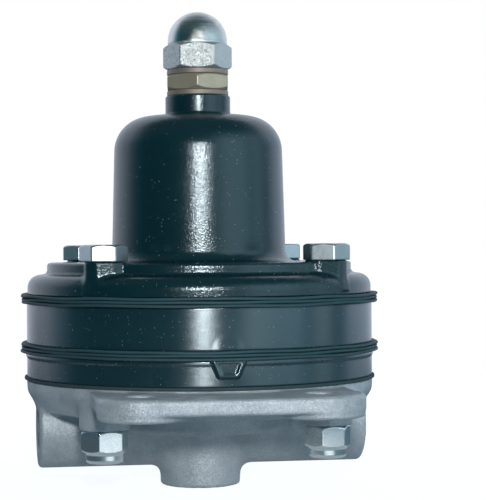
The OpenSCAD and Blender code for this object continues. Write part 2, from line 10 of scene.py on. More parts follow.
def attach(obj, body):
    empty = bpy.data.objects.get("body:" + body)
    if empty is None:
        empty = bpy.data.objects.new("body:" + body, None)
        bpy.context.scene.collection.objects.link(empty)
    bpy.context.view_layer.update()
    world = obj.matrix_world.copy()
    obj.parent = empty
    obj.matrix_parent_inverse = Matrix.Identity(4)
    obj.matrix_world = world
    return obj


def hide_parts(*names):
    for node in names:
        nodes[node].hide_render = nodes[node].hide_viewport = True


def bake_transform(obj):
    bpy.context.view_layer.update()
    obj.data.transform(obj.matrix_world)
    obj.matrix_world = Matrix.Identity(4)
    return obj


# Fuel pressure regulator: the finishes and fine shapes of its pieces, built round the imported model.
# The studio is in metres, and the pieces are in millimetres until their meshes are made.
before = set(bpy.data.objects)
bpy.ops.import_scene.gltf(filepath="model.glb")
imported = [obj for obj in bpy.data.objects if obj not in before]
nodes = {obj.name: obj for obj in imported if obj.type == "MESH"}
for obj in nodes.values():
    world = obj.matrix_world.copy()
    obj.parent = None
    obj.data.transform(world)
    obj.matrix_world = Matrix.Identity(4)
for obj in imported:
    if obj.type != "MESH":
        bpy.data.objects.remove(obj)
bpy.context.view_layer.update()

# Studio
# A pale floor and a white sheet behind the regulator, a small flash over the camera and a grey wall with a
# lighter strip to the right. The camera stands level with the bolt heads, a little to the left of the foot.
scene = bpy.context.scene
scene.view_settings.view_transform = "Standard"


def fill(tree, made, sockets):
    """Fills a node's sockets with values or links."""
    for name, value in sockets.items():
        if isinstance(value, bpy.types.NodeSocket):
            tree.links.new(value, made.inputs[name])
        else:
            made.inputs[name].default_value = value
    return made


def wire(tree, kind, sockets=None, **settings):
    """Adds a shader node, or a geometry node by its full name, with its settings and sockets."""
    made = tree.nodes.new(kind if kind.startswith("GeometryNode") else "ShaderNode" + kind)
    for name, value in settings.items():
        setattr(made, name, value)
    return fill(tree, made, sockets or {})


def calc(tree, operation, *values):
    """Result of a maths node of one to three values."""
    return wire(tree, "Math", dict(enumerate(values)), operation=operation).outputs[0]


def vectors(tree, operation, *values):
    """Vector maths node of one or two values."""
    return wire(tree, "VectorMath", dict(enumerate(values)), operation=operation)


def ranged(tree, value, low, high, to_low=0.0, to_high=1.0, kind="LINEAR"):
    """Value moved from one range to another and kept within its ends."""
    ends = {0: value, 1: low, 2: high, 3: to_low, 4: to_high}
    return wire(tree, "MapRange", ends, interpolation_type=kind).outputs[0]


def mixed(tree, share, first, second):
    """Colour that runs from one to another with a mask; each is a socket or three numbers."""
    first, second = (c if isinstance(c, bpy.types.NodeSocket) else (*c, 1) for c in (first, second))
    return wire(tree, "Mix", {0: share, 6: first, 7: second}, data_type="RGBA").outputs[2]


CAMERA_FAR = 0.4195
CAMERA_HEIGHT = 0.0597
CAMERA_TURN = math.radians(-8.8)
CAMERA_ROLL = math.radians(0.4)
toward = Vector((-math.sin(CAMERA_TURN), math.cos(CAMERA_TURN), 0))
camera = bpy.data.objects.new("camera", bpy.data.cameras.new("camera"))
scene.collection.objects.link(camera)
camera.data.sensor_width = 36
camera.data.lens = 119.3
camera.data.shift_x = 0.0885
camera.data.shift_y = -0.006
camera.data.clip_start = 0.01
camera.location = -toward * CAMERA_FAR + Vector((0, 0, CAMERA_HEIGHT))
camera.rotation_mode = "QUATERNION"
roll = Matrix.Rotation(CAMERA_ROLL, 3, toward).to_quaternion()
camera.rotation_quaternion = roll @ toward.to_track_quat("-Z", "Y")
scene.camera = camera

world = bpy.data.worlds.new("studio")
scene.world = world
world.use_nodes = True
sky = world.node_tree
sky.nodes.clear()
heading = wire(sky, "TexCoord").outputs["Generated"]


def heading_along(direction):
    """How far a ray's heading runs along a direction."""
    return vectors(sky, "DOT_PRODUCT", heading, direction).outputs["Value"]


SHEET_LEAN = Vector((0, 0, 0.577))
rightward = toward.cross(Vector((0, 0, 1)))
bearing = calc(sky, "ARCTAN2", heading_along(rightward), heading_along(-toward))
room = wire(sky, "ValToRGB", {0: ranged(sky, bearing, -math.pi, math.pi)})
wall_colours = [
    (-180, (0.76, 0.84, 0.98)), (-150, (0.72, 0.77, 0.89)), (-120, (0.70, 0.75, 0.87)),
    (-104, (0.26, 0.37, 0.46)), (-90, (0.03, 0.11, 0.15)), (-70, (0.012, 0.05, 0.065)),
    (-20, (0.012, 0.05, 0.06)), (8, (0.03, 0.08, 0.10)), (24, (0.12, 0.22, 0.26)), (34, (0.84, 1.05, 1.14)),
    (66, (0.70, 0.98, 1.16)), (76, (0.28, 0.44, 0.54)), (84, (0.64, 0.80, 0.88)), (92, (0.60, 0.76, 0.84)),
    (99, (0.16, 0.28, 0.35)), (110, (0.26, 0.38, 0.46)), (116, (0.66, 0.80, 0.96)),
    (180, (0.76, 0.84, 0.98))]
while len(room.color_ramp.elements) < len(wall_colours):
    room.color_ramp.elements.new(0.5)
for stop, (degrees, colour) in zip(room.color_ramp.elements, wall_colours):
    stop.position = degrees / 360 + 0.5
    stop.color = (*colour, 1)
upward = wire(sky, "SeparateXYZ", {0: heading}).outputs[2]
overhead = ranged(sky, upward, 0.45, 0.8, kind="SMOOTHSTEP")
roof = mixed(sky, overhead, room.outputs[0], (0.06, 0.10, 0.11))
behind = ranged(sky, heading_along(toward - SHEET_LEAN), -0.02, 0.14, kind="SMOOTHSTEP")
high = ranged(sky, upward, 0.2, 0.5, kind="SMOOTHSTEP")
around = mixed(sky, calc(sky, "MULTIPLY", behind, high), roof, (0.80, 0.88, 1.0))
lit = wire(sky, "Background", {"Color": around, "Strength": 1})
plain = wire(sky, "Background", {"Color": (1, 1, 1, 1), "Strength": 1})
seen = wire(sky, "LightPath").outputs["Is Camera Ray"]
either = wire(sky, "MixShader", {0: seen, 1: lit.outputs[0], 2: plain.outputs[0]})
wire(sky, "OutputWorld", {"Surface": either.outputs[0]})

FLASH_FAR = 0.46
FLASH_TURN = math.radians(-6)
FLASH_RISE = math.radians(9.5)
FLASH_AIM = Vector((0, 0, 0.06))
bulb = bpy.data.lights.new("flash", "AREA")
bulb.shape = "RECTANGLE"
bulb.size = 0.045
bulb.size_y = 0.032
bulb.energy = 0.92
flash = bpy.data.objects.new("flash", bulb)
scene.collection.objects.link(flash)
level = math.cos(FLASH_RISE)
back = Vector((math.sin(FLASH_TURN) * level, -math.cos(FLASH_TURN) * level, math.sin(FLASH_RISE)))
flash.location = FLASH_AIM + back * FLASH_FAR
flash.rotation_mode = "QUATERNION"
flash.rotation_quaternion = (-back).to_track_quat("-Z", "Y")

FLOOR_HALF = 0.34
# Centre of the painted glow that reflections see on the floor, and the line left of which reflections see a
# painted darker floor.
REFLECTED_GLOW_AT = (0.02, -0.125, 0)
DARK_REFLECTION_LEFT_OF = -0.066
floor_mesh = bpy.data.meshes.new("floor")
floor_corners = [(x * FLOOR_HALF, y * FLOOR_HALF, 0) for x, y in ((-1, -1), (1, -1), (1, 1), (-1, 1))]
floor_mesh.from_pydata(floor_corners, [], [(0, 1, 2, 3)])
floor = bpy.data.objects.new("floor", floor_mesh)
scene.collection.objects.link(floor)
floor_finish = bpy.data.materials.new("pale_floor")
floor_finish.use_nodes = True
tree = floor_finish.node_tree
tree.nodes.clear()
# Painted reflections: glossy rays see a glowing white patch on the floor in front of the regulator and a
# fainter glow round its foot, though no lamp stands there. Left of the camera they see a painted darker floor
# colour. Camera rays see the floor white, and its diffuse part keeps the shadow.
rays = wire(tree, "LightPath")
glossy = rays.outputs["Is Glossy Ray"]
floor_spot = wire(tree, "TexCoord").outputs["Object"]
on_floor = wire(tree, "SeparateXYZ", {0: floor_spot})
from_patch = vectors(tree, "DISTANCE", floor_spot, REFLECTED_GLOW_AT).outputs["Value"]
from_axis = vectors(tree, "LENGTH", floor_spot).outputs["Value"]
glow_patch = ranged(tree, from_patch, 0.035, 0.06, 1.0, 0.0)
glow_near_axis = ranged(tree, from_axis, 0.05, 0.10, 0.26, 0.0)
reflected_glow = calc(tree, "MULTIPLY", calc(tree, "MAXIMUM", glow_patch, glow_near_axis), glossy)
whiter = ranged(tree, on_floor.outputs[1], 0.03, 0.3, 0.9, 1.0)
bright = calc(tree, "MULTIPLY_ADD", rays.outputs["Is Camera Ray"], whiter, reflected_glow)
dark_in_reflections = calc(tree, "MULTIPLY", calc(tree, "LESS_THAN", on_floor.outputs[0], DARK_REFLECTION_LEFT_OF), glossy)
matt = wire(tree, "BsdfDiffuse", {"Color": mixed(tree, dark_in_reflections, (0.25, 0.36, 0.41), (0.16, 0.20, 0.22))})
glow = wire(tree, "Emission", {"Color": (1, 1, 1, 1), "Strength": bright})
lifted = wire(tree, "AddShader", {0: matt.outputs[0], 1: glow.outputs[0]})
wire(tree, "OutputMaterial", {"Surface": lifted.outputs[0]})
floor_mesh.materials.append(floor_finish)

# Base
# One sand casting in aluminium, left bare: a rim that the rings bolt to, a mounting foot, a cross bar with a
# port in each end and a boss for the bottom port. The joint face, ports and nut seats are machined.
MM = 0.001
BASE_TOP = 27.0
RIM_R = 43.5
RIM_LEAN_Z = 23.9
CHAMBER_R = 24.0
BAR_R = 10.0
BAR_Z = 15.0
BAR_END = 40.9
PORT_R = 5.9
PASSAGE_R = 2.8
FOOT_Y = 38.5
FOOT_EDGE = 0.9
FOOT_TOP = 26.3
FOOT_HOLE_X = 20.5
FOOT_HOLE_Y = 47.5
POST_XY = 12.73
BOLT_XY = 26.8
BOLT_HOLE_R = 3.3
NUT_SEAT_Z = 17.0


def blend_min(a, b, soft):
    """Union of two distances with a fillet of about the given size."""
    share = np.clip(0.5 + 0.5 * (b - a) / soft, 0, 1)
    return b + (a - b) * share - soft * share * (1 - share)


def blend_max(a, b, soft):
    """Intersection of two distances with a rounded edge of about the given size."""
    return -blend_min(-a, -b, soft)


def rounded(out, up, edge):
    """Distance from two faces that meet at a right angle, the corner rounded."""
    out, up = out + edge, up + edge
    return np.hypot(np.maximum(out, 0), np.maximum(up, 0)) + np.minimum(np.maximum(out, up), 0) - edge


def drum(r, z, radius, low, high, edge):
    """Distance from a cylinder between two heights, its edges rounded."""
    return rounded(r - radius, np.abs(z - (low + high) / 2) - (high - low) / 2, edge)


def block(x, y, half_x, half_y, corner):
    """Distance from a rectangle with rounded corners."""
    return rounded(np.abs(x) - half_x, np.abs(y) - half_y, corner)


def at_bolts(x, y):
    """Distance from the nearest bolt's axis."""
    return np.hypot(np.abs(x) - BOLT_XY, np.abs(y) - BOLT_XY)


def new_piece(mesh, finish):
    """Object at the origin that shows a mesh in one finish, under the mesh's name."""
    made = bpy.data.objects.new(mesh.name, mesh)
    scene.collection.objects.link(made)
    mesh.materials.clear()
    mesh.materials.append(finish)
    return made


def skin(name, field, low, high, step):
    """Closed mesh of the surface where a distance field is nought, with the field's own normals."""
    axes = [np.arange(a - 2 * step, b + 3 * step, step) for a, b in zip(low, high)]
    depth = field(*np.meshgrid(*axes, indexing="ij"))
    inside = depth < 0
    size = np.array(depth.shape)
    ways = np.eye(3, dtype=int)
    corners = list(itertools.product((0, 1), repeat=3))
    filled = sum(inside[tuple(slice(c, n - 1 + c) for c, n in zip(corner, size))].astype(np.int8)
                 for corner in corners)
    crossing = (filled > 0) & (filled < len(corners))
    cells = np.argwhere(crossing)
    number = np.full(crossing.shape, -1)
    number[crossing] = np.arange(len(cells))
    total, hits = np.zeros((len(cells), 3)), np.zeros(len(cells))
    for start in corners:
        for axis in range(3):
            if start[axis]:
                continue
            end = np.array(start) + ways[axis]
            a, b = depth[tuple((cells + start).T)], depth[tuple((cells + end).T)]
            crossed = (a < 0) != (b < 0)
            share = np.where(crossed, a / np.where(crossed, a - b, 1), 0)
            total += np.where(crossed[:, None], np.array(start) + share[:, None] * (end - start), 0)
            hits += crossed
    points = np.array([axis[0] for axis in axes]) + step * (cells + total / hits[:, None])
    faces = []
    for axis in range(3):
        across, up = ways[(axis + 1) % 3], ways[(axis + 2) % 3]
        first = inside.take(np.arange(size[axis] - 1), axis)
        second = inside.take(np.arange(1, size[axis]), axis)
        for side, turned_round in ((first & ~second, False), (second & ~first, True)):
            edges = np.argwhere(side)
            ring = [number[tuple((edges - shift).T)] for shift in (across + up, up, 0 * up, across)]
            faces.append(np.stack(ring[::-1] if turned_round else ring, 1))

    def slope(at, near=0.02):
        return np.stack([(field(*(at + near * way).T) - field(*(at - near * way).T)) / (2 * near)
                         for way in ways], 1)

    for _ in range(3):
        lean = slope(points)
        move = field(*points.T) / np.maximum((lean ** 2).sum(1), 0.25)
        points = points - np.clip(move, -step / 2, step / 2)[:, None] * lean
    lean = slope(points)
    lean /= np.maximum(np.linalg.norm(lean, axis=1), 1e-6)[:, None]
    mesh = bpy.data.meshes.new(name)
    mesh.from_pydata((points * MM).tolist(), [], np.concatenate(faces).tolist())
    mesh.shade_smooth()
    mesh.normals_split_custom_set_from_vertices(lean.tolist())
    return mesh


def base_shape(x, y, z):
    """Distance from the base casting."""
    r = np.hypot(x, y)
    from_bar = np.hypot(y, z - BAR_Z)
    from_foot_hole = np.hypot(np.abs(x) - FOOT_HOLE_X, y + FOOT_HOLE_Y)
    lean = 0.375 * (RIM_LEAN_Z - z + np.sqrt((RIM_LEAN_Z - z) ** 2 + 0.8))
    rim = drum(r + lean, z, RIM_R, 19.7, BASE_TOP, 0.25) * 0.8
    bar = drum(from_bar, x, BAR_R, -BAR_END, BAR_END, 1.0)
    boss = drum(r - 0.035 * np.clip(z, 0, 8), z, BAR_R, 0, 20, 0.7)
    hub = drum(r, z, CHAMBER_R, 14.4, 24, 1.4)
    web = drum(block(x, y + FOOT_Y, 30.5, 19, 10), z, 0, 22.5, FOOT_TOP, FOOT_EDGE)
    pads = drum(from_foot_hole, z, 10, 21.1, FOOT_TOP, FOOT_EDGE)
    seats = drum(at_bolts(x, y), z, 6, NUT_SEAT_Z, 25, 0.4)
    body = blend_min(blend_min(rim, hub, 2.5), blend_min(web, pads, 0.8), 0.7)
    body = blend_min(body, blend_min(bar, boss, 3.0), 2.0)
    body = blend_min(body, seats, 1.5)
    cuts = np.minimum.reduce([
        drum(r, z, CHAMBER_R, 22.5, 40, 0.4),
        drum(r, z, PORT_R, -20, 11, 0.3),
        drum(from_bar, np.abs(x), PORT_R, 28.5, 80, 0.3),
        drum(r, z, 4.6, 10, 18, 0.1),
        drum(r, z, 5.55, 17, 30, 0.1),
        drum(from_bar, np.abs(x), PASSAGE_R, 14.2, 29.5, 0.1),
        drum(np.hypot(np.abs(x) - 17, y), z, PASSAGE_R, 15, 24, 0.1),
        drum(at_bolts(x, y), z, BOLT_HOLE_R, 10, 40, 0.1),
        drum(from_foot_hole, z, 3.2, 10, 40, 0.1)])
    posts = drum(np.hypot(np.abs(x) - POST_XY, np.abs(y) - POST_XY), z, 2, 21.5, 32.4, 0.3)
    return np.minimum(blend_max(body, -cuts, 0.5), posts)


def add_inputs(group, inputs):
    """Adds inputs of (label, kind, value) to a node group; gives their identifiers."""
    sockets = {}
    for label, kind, value in inputs:
        socket = group.interface.new_socket(label, in_out="INPUT", socket_type="NodeSocket" + kind)
        if value is not None:
            socket.default_value = value
        sockets[label] = socket.identifier
    return sockets


def shader_group(name, sizes, outputs):
    """New shader node group of a place and named sizes; gives the tree, its input and its output node."""
    group = bpy.data.node_groups.new(name, "ShaderNodeTree")
    add_inputs(group, [("Place", "Vector", None)] + [(label, "Float", value) for label, value in sizes])
    for label, kind in outputs:
        group.interface.new_socket(label, in_out="OUTPUT", socket_type="NodeSocket" + kind)
    return group, group.nodes.new("NodeGroupInput"), group.nodes.new("NodeGroupOutput")


def pattern(group, given, kind, size, **sockets):
    """Texture over a group's place, at the size that one of its inputs gives."""
    scale = calc(group, "DIVIDE", 1.0, given.outputs[size])
    return wire(group, kind, {"Vector": given.outputs["Place"], "Scale": scale, **sockets})


def place(tree, group, **sockets):
    """Puts a shader group in a material, with its own values."""
    made = tree.nodes.new("ShaderNodeGroup")
    made.node_tree = group
    return fill(tree, made, {name.replace("_", " ").title(): value for name, value in sockets.items()})


def finish_of(name, metallic, roughness, **settings):
    """New material with a Principled shader; gives the material, its tree, the shader and the place in mm."""
    made = bpy.data.materials.new(name)
    made.use_nodes = True
    tree = made.node_tree
    tree.nodes.clear()
    shader = wire(tree, "BsdfPrincipled", {"Metallic": metallic, "Roughness": roughness})
    for label, value in settings.items():
        shader.inputs[label.replace("_", " ")].default_value = value
    wire(tree, "OutputMaterial", {"Surface": shader.outputs[0]})
    spot = wire(tree, "TexCoord").outputs["Object"]
    spot = wire(tree, "VectorMath", {0: spot, "Scale": 1 / MM}, operation="SCALE").outputs[0]
    return made, tree, shader, spot


def tint(tree, shader, share, dark, light):
    """Base colour that runs from one colour to another with a mask."""
    tree.links.new(mixed(tree, share, dark, light), shader.inputs["Base Color"])


def spread(tree, shader, share, low, high):
    """Roughness that runs between two values with a mask."""
    tree.links.new(ranged(tree, share, 0, 1, low, high), shader.inputs["Roughness"])


# Grain of a cast or blasted skin: fine grit over slow clouds, at a size in millimetres
grain, given, gives = shader_group(
    "grain", [("Grit Size", 0.5), ("Cloud Size", 8.0)], [("Grit", "Float"), ("Clouds", "Float")])
for label, size, detail, rough in (("Grit", "Grit Size", 3.0, 0.65), ("Clouds", "Cloud Size", 4.0, 0.6)):
    noise = pattern(grain, given, "TexNoise", size, Detail=detail, Roughness=rough)
    grain.links.new(noise.outputs[0], gives.inputs[label])


def grains(tree, spot, grit_size, cloud_size):
    """Puts the grain in a material; gives its clouds and its grit."""
    made = place(tree, grain, place=spot, grit_size=grit_size, cloud_size=cloud_size)
    return made.outputs["Clouds"], made.outputs["Grit"]


# Sparkle: a surface of tiny flat grains, each tilted its own way
sparkle, given, gives = shader_group("sparkle", [("Grain Size", 0.25), ("Tilt", 0.2)], [("Normal", "Vector")])
flakes = pattern(sparkle, given, "TexVoronoi", "Grain Size")
centred = vectors(sparkle, "SUBTRACT", flakes.outputs["Color"], (0.5, 0.5, 0.5)).outputs[0]
tilted = wire(sparkle, "VectorMath", {0: centred, "Scale": given.outputs["Tilt"]}, operation="SCALE")
straight = wire(sparkle, "NewGeometry").outputs["Normal"]
leaned = vectors(sparkle, "ADD", straight, tilted.outputs[0]).outputs[0]
sparkle.links.new(vectors(sparkle, "NORMALIZE", leaned).outputs[0], gives.inputs["Normal"])

aluminium, tree, shader, spot = finish_of("cast_aluminium", 0.4, 0.5)
clouds, grit = grains(tree, spot, 0.3, 9.0)
mottle = ranged(tree, calc(tree, "MULTIPLY", clouds, grit), 0.14, 0.38)
tint(tree, shader, mottle, (0.43, 0.48, 0.52), (0.69, 0.73, 0.765))
spread(tree, shader, grit, 0.45, 0.66)
glints = place(tree, sparkle, place=spot, grain_size=0.2, tilt=0.38)
tree.links.new(glints.outputs["Normal"], shader.inputs["Normal"])

base_casting = new_piece(
    skin("base_casting", base_shape, (-43.3, -57.5, 0), (43.3, 43.3, 32.4), 0.62), aluminium)
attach(base_casting, "housing")
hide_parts("base_body")

# Port threads
# Taper pipe threads cut in the mouths of the three ports.
# Each is a thin sleeve of ridges that lines the bore.
PIPE_PITCH = 1.337
PIPE_DEPTH = 0.55
PIPE_LEAD = 0.9
SHARP_ANGLE = math.radians(40)


def smoothed(mesh):
    """The mesh shaded smooth, but for its sharp edges."""
    mesh.shade_smooth()
    mesh.set_sharp_from_angle(angle=SHARP_ANGLE)
    return mesh


def lathe(name, outline, angles, bend=None):
    """Closed mesh of an outline of (radius, height) turned about Z; bend may move each point by its angle."""
    outline = np.array(outline)
    a = np.array(angles)[:, None]
    r, z = outline[None, :, 0] + 0 * a, outline[None, :, 1] + 0 * a
    if bend:
        r, z = bend(r, z, a + 0 * r)
    points = np.stack([r * np.sin(a), -r * np.cos(a), z], 2).reshape(-1, 3)
    rows, wide = len(angles), len(outline)
    at = np.arange(rows)[:, None] * wide + np.arange(wide)[None, :]
    beside = np.roll(at, -1, 0)
    faces = np.stack([at, beside, np.roll(beside, -1, 1), np.roll(at, -1, 1)], 2).reshape(-1, 4)
    corner = points[faces]
    volume = np.einsum("ij,ij->i", corner[:, 0], np.cross(corner[:, 1], corner[:, 2])).sum()
    volume += np.einsum("ij,ij->i", corner[:, 0], np.cross(corner[:, 2], corner[:, 3])).sum()
    if volume < 0:
        faces = faces[:, ::-1]
    mesh = bpy.data.meshes.new(name)
    mesh.from_pydata((points * MM).tolist(), [], faces.tolist())
    return smoothed(mesh)


def turns(count):
    """Even angles round a circle."""
    return np.arange(count) * 2 * math.pi / count


def joined(name, meshes):
    """One mesh of several, each with a place to put it."""
    points, faces = [], []
    for mesh, where in meshes:
        first = len(points)
        points += [where @ v.co for v in mesh.vertices]
        faces += [[first + i for i in p.vertices] for p in mesh.polygons]
        bpy.data.meshes.remove(mesh)
    made = bpy.data.meshes.new(name)
    made.from_pydata(points, [], faces)
    return smoothed(made)


def ridges(z, a, pitch):
    """Height from 0 to 1 of a vee thread at a height and an angle."""
    return np.abs((z / pitch - a / (2 * math.pi)) % 1 - 0.5) * 2


def port_sleeve(depth):
    """Thread of a port whose mouth is at height 0 and that runs down."""
    back_r = PORT_R + 0.05
    inner = [(PORT_R - 0.02, z) for z in np.linspace(-PIPE_LEAD, -depth, int(depth / 0.16))]

    def cut(r, z, a):
        fade = np.clip((-PIPE_LEAD - z) / 0.8, 0, 1)
        return np.where(r < PORT_R, r - PIPE_DEPTH * ridges(z, a, PIPE_PITCH) * fade, r), z

    return lathe("port_sleeve", [(back_r, -depth), (back_r, -PIPE_LEAD)] + inner, turns(72), cut)


def relief(tree, shader, height, depth):
    """Bump of a depth in millimetres."""
    bump = wire(tree, "Bump", {"Height": height, "Strength": 1, "Distance": depth * MM})
    tree.links.new(bump.outputs[0], shader.inputs["Normal"])


def grained(name, metallic, rough, grit_size, cloud_size, dark, light, depth=0.0):
    """Finish that the grain's clouds tint. Its grit spreads the roughness, where two are given, and may stand
    out by a depth. Gives what finish_of gives."""
    made, tree, shader, spot = finish_of(name, metallic, rough[0])
    clouds, grit = grains(tree, spot, grit_size, cloud_size)
    tint(tree, shader, clouds, dark, light)
    if len(rough) == 2:
        spread(tree, shader, grit, *rough)
    if depth:
        relief(tree, shader, grit, depth)
    return made, tree, shader, spot


cut_aluminium, *_ = grained(
    "cut_aluminium", 1.0, (0.22, 0.42), 0.3, 3.0, (0.42, 0.44, 0.45), (0.62, 0.63, 0.64))
sleeves = [(port_sleeve(10.5), Matrix.Rotation(math.pi, 4, "X"))]
for side in (1, -1):
    mouth = Matrix.Translation((side * BAR_END * MM, 0, BAR_Z * MM))
    sleeves.append((port_sleeve(12.5), mouth @ Matrix.Rotation(side * math.pi / 2, 4, "Y")))
port_threads = new_piece(joined("port_threads", sleeves), cut_aluminium)
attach(port_threads, "housing")

# Valve seat
# A brass bush with a hexagon, turned from bar.
# It is screwed into the floor of the base's chamber.

# Turning lines: fine rings round the Z axis, on walls and on faces
turning, given, gives = shader_group("turning", [("Pitch", 0.3)], [("Lines", "Float")])
apart = wire(turning, "SeparateXYZ", {0: given.outputs["Place"]})
flat = wire(turning, "CombineXYZ", {0: apart.outputs[0], 1: apart.outputs[1]})
radius = vectors(turning, "LENGTH", flat.outputs[0]).outputs["Value"]
out_and_down = calc(turning, "SUBTRACT", radius, apart.outputs[2])
lines_at = calc(turning, "DIVIDE", out_and_down, given.outputs["Pitch"])
lines = wire(turning, "TexNoise", {"W": lines_at, "Scale": 1.0, "Detail": 2.0}, noise_dimensions="1D")
turning.links.new(lines.outputs[0], gives.inputs["Lines"])


def ringed(tree, shader, spot, pitch, depth):
    """Adds turning lines as relief; gives their mask."""
    rings = place(tree, turning, place=spot, pitch=pitch).outputs["Lines"]
    relief(tree, shader, rings, depth)
    return rings


def turned(name, rough, pitch, depth, dark, light):
    """Bright metal from the lathe, its turning lines lighter and darker."""
    made, tree, shader, spot = finish_of(name, 1.0, rough)
    tint(tree, shader, ringed(tree, shader, spot, pitch, depth), dark, light)
    return made


def dress(finish, *names):
    """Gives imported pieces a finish."""
    for name in names:
        nodes[name].material_slots[0].material = finish


brass = turned("turned_brass", 0.28, 0.25, 0.01, (0.55, 0.38, 0.16), (0.80, 0.60, 0.30))
dress(brass, "valve_seat")

# Gasket
# A thin fibre sheet cut to the outline of the rings.
# It is clamped between the base and the lower ring, and its edge is a little ragged.
OPEN_R = 30.0
GASKET_R = 44.1
GASKET_TOP = 27.7


def cut_out(mesh, tool):
    """The mesh with another taken away from it."""
    name = mesh.name
    blank, cutter = bpy.data.objects.new("blank", mesh), bpy.data.objects.new("cutter", tool)
    for made in (blank, cutter):
        scene.collection.objects.link(made)
    cut = blank.modifiers.new("cut", "BOOLEAN")
    cut.operation = "DIFFERENCE"
    cut.solver = "EXACT"
    cut.object = cutter
    left = bpy.data.meshes.new_from_object(blank.evaluated_get(bpy.context.evaluated_depsgraph_get()))
    for made in (blank, cutter):
        bpy.data.objects.remove(made)
    for spare in (mesh, tool):
        bpy.data.meshes.remove(spare)
    left.name = name
    return smoothed(left)


def drilled(mesh, low, high):
    """The mesh with the four bolts' clearance holes cut through it."""
    outline = [(0.001, low), (BOLT_HOLE_R, low), (BOLT_HOLE_R, high), (0.001, high)]
    at = BOLT_XY * MM
    return cut_out(mesh, joined("drills", [(lathe("drill", outline, turns(48)), Matrix.Translation((x, y, 0)))
                                           for x in (-at, at) for y in (-at, at)]))


def wander(angles, seed, waves, lowest=2):
    """Smooth random curve round a circle, about -1 to 1, the same on every run."""
    draw = np.random.default_rng(seed)
    total = 0 * angles
    for wave in range(lowest, lowest + waves):
        height = draw.normal()
        total = total + height * np.sin(wave * angles + draw.uniform(0, 2 * math.pi)) / math.sqrt(waves)
    return total


def arc(r, z, radius, start, end, steps):
    """Points along part of a circle, in degrees."""
    return [(r + radius * math.cos(math.radians(t)), z + radius * math.sin(math.radians(t)))
            for t in np.linspace(start, end, steps)]


def disc_outline(outer, low, high, edge):
    """Section of a flat ring as wide inside as the rings, its outer edge rounded."""
    rim = arc(outer - edge, low + edge, edge, -90, 0, 4) + arc(outer - edge, high - edge, edge, 30, 90, 3)
    inward = [OPEN_R, outer - 2.2, outer - 1.4]
    return [(r, low) for r in inward] + rim + [(r, high) for r in reversed(inward)]


def gasket_edge(r, z, a):
    """Makes the gasket's rim uneven."""
    weight = np.clip(r - 42.8, 0, 1)
    return r + weight * (0.12 * wander(a, 5, 9) - 0.12), z


fibre, *_ = grained(
    "gasket_fibre", 0.0, (0.75,), 0.25, 4.0, (0.02, 0.048, 0.056), (0.05, 0.095, 0.108), 0.05)
gasket_outline = disc_outline(GASKET_R, BASE_TOP, GASKET_TOP, 0.2)
gasket_blank = lathe("gasket_sheet", gasket_outline, turns(360), gasket_edge)
gasket_sheet = new_piece(drilled(gasket_blank, 26, 29), fibre)
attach(gasket_sheet, "housing")
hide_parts("base_gasket")

# Rings
# Two aluminium rings turned and then painted, drilled for the bolts. The lower one has a slightly proud band
# at its top and a tapered index lug; the middle one has a small round bump over that lug.
RING_R = 43.4
RING_EDGE = 0.25
LOWER_TOP = 33.9
UPPER_Z = 46.0
LUG_Z = 29.7
LUG_OUT = 0.75
BAND_OUT = 0.28
BUMP_Z = 36.2
BUMP_R = 2.6
BUMP_OUT = 0.06

# Dust: small round specks scattered over a surface, more or fewer of them
dust, given, gives = shader_group("dust", [("Spacing", 2.0), ("Amount", 0.3)], [("Specks", "Float")])
cell = pattern(dust, given, "TexVoronoi", "Spacing")
cell_draw = wire(dust, "SeparateColor", {0: cell.outputs["Color"]})
chosen = calc(dust, "LESS_THAN", cell_draw.outputs[0], given.outputs["Amount"])
reach = ranged(dust, cell_draw.outputs[1], 0, 1, 0.03, 0.11)
close = calc(dust, "LESS_THAN", cell.outputs["Distance"], reach)
dust.links.new(calc(dust, "MULTIPLY", chosen, close), gives.inputs["Specks"])

# Orange peel: the smooth shallow waves in sprayed paint, at a size in millimetres
peel, given, gives = shader_group("peel", [("Size", 0.4)], [("Waves", "Float")])
peel.links.new(pattern(peel, given, "TexNoise", "Size", Detail=0.0).outputs[0], gives.inputs["Waves"])


def paint(name, index, brushed, gloss, peel_depth, lines_depth, chip_low, chip_high):
    """Black enamel with a green cast: orange peel, specks of dust and chips between two heights. Over turned
    metal it is brushed: its highlights stretch across the turning lines, which show through."""
    made, tree, shader, spot = finish_of(name, 0.0, gloss, IOR=index, Anisotropic=brushed,
                                         Anisotropic_Rotation=0.25, Specular_Tint=(0.82, 0.95, 1.0, 1.0))
    patches, _ = grains(tree, spot, 0.3, 12.0)
    fine, _ = grains(tree, spot, 0.3, 0.9)
    flecks = place(tree, dust, place=spot, spacing=0.7, amount=0.5).outputs["Specks"]
    marks = place(tree, turning, place=spot, pitch=0.1).outputs["Lines"]
    swell = place(tree, peel, place=spot, size=0.3).outputs["Waves"]
    height = calc(tree, "MULTIPLY_ADD", marks, lines_depth, calc(tree, "MULTIPLY", swell, peel_depth))
    relief(tree, shader, height, 0.042)
    up = wire(tree, "SeparateXYZ", {0: spot}).outputs[2]
    above, below = calc(tree, "GREATER_THAN", up, chip_low), calc(tree, "LESS_THAN", up, chip_high)
    chips = calc(tree, "MULTIPLY", calc(tree, "MULTIPLY", above, below), ranged(tree, fine, 0.58, 0.62))
    enamel = mixed(tree, patches, (0.0026, 0.022, 0.029), (0.0046, 0.031, 0.041))
    tint(tree, shader, chips, mixed(tree, flecks, enamel, (0.62, 0.70, 0.71)), (0.0015, 0.003, 0.003))
    dull = calc(tree, "MULTIPLY_ADD", flecks, 0.5, ranged(tree, patches, 0.3, 0.7, gloss, gloss + 0.03))
    dull = calc(tree, "MULTIPLY_ADD", chips, 0.6, dull)
    tree.links.new(dull, shader.inputs["Roughness"])
    return made


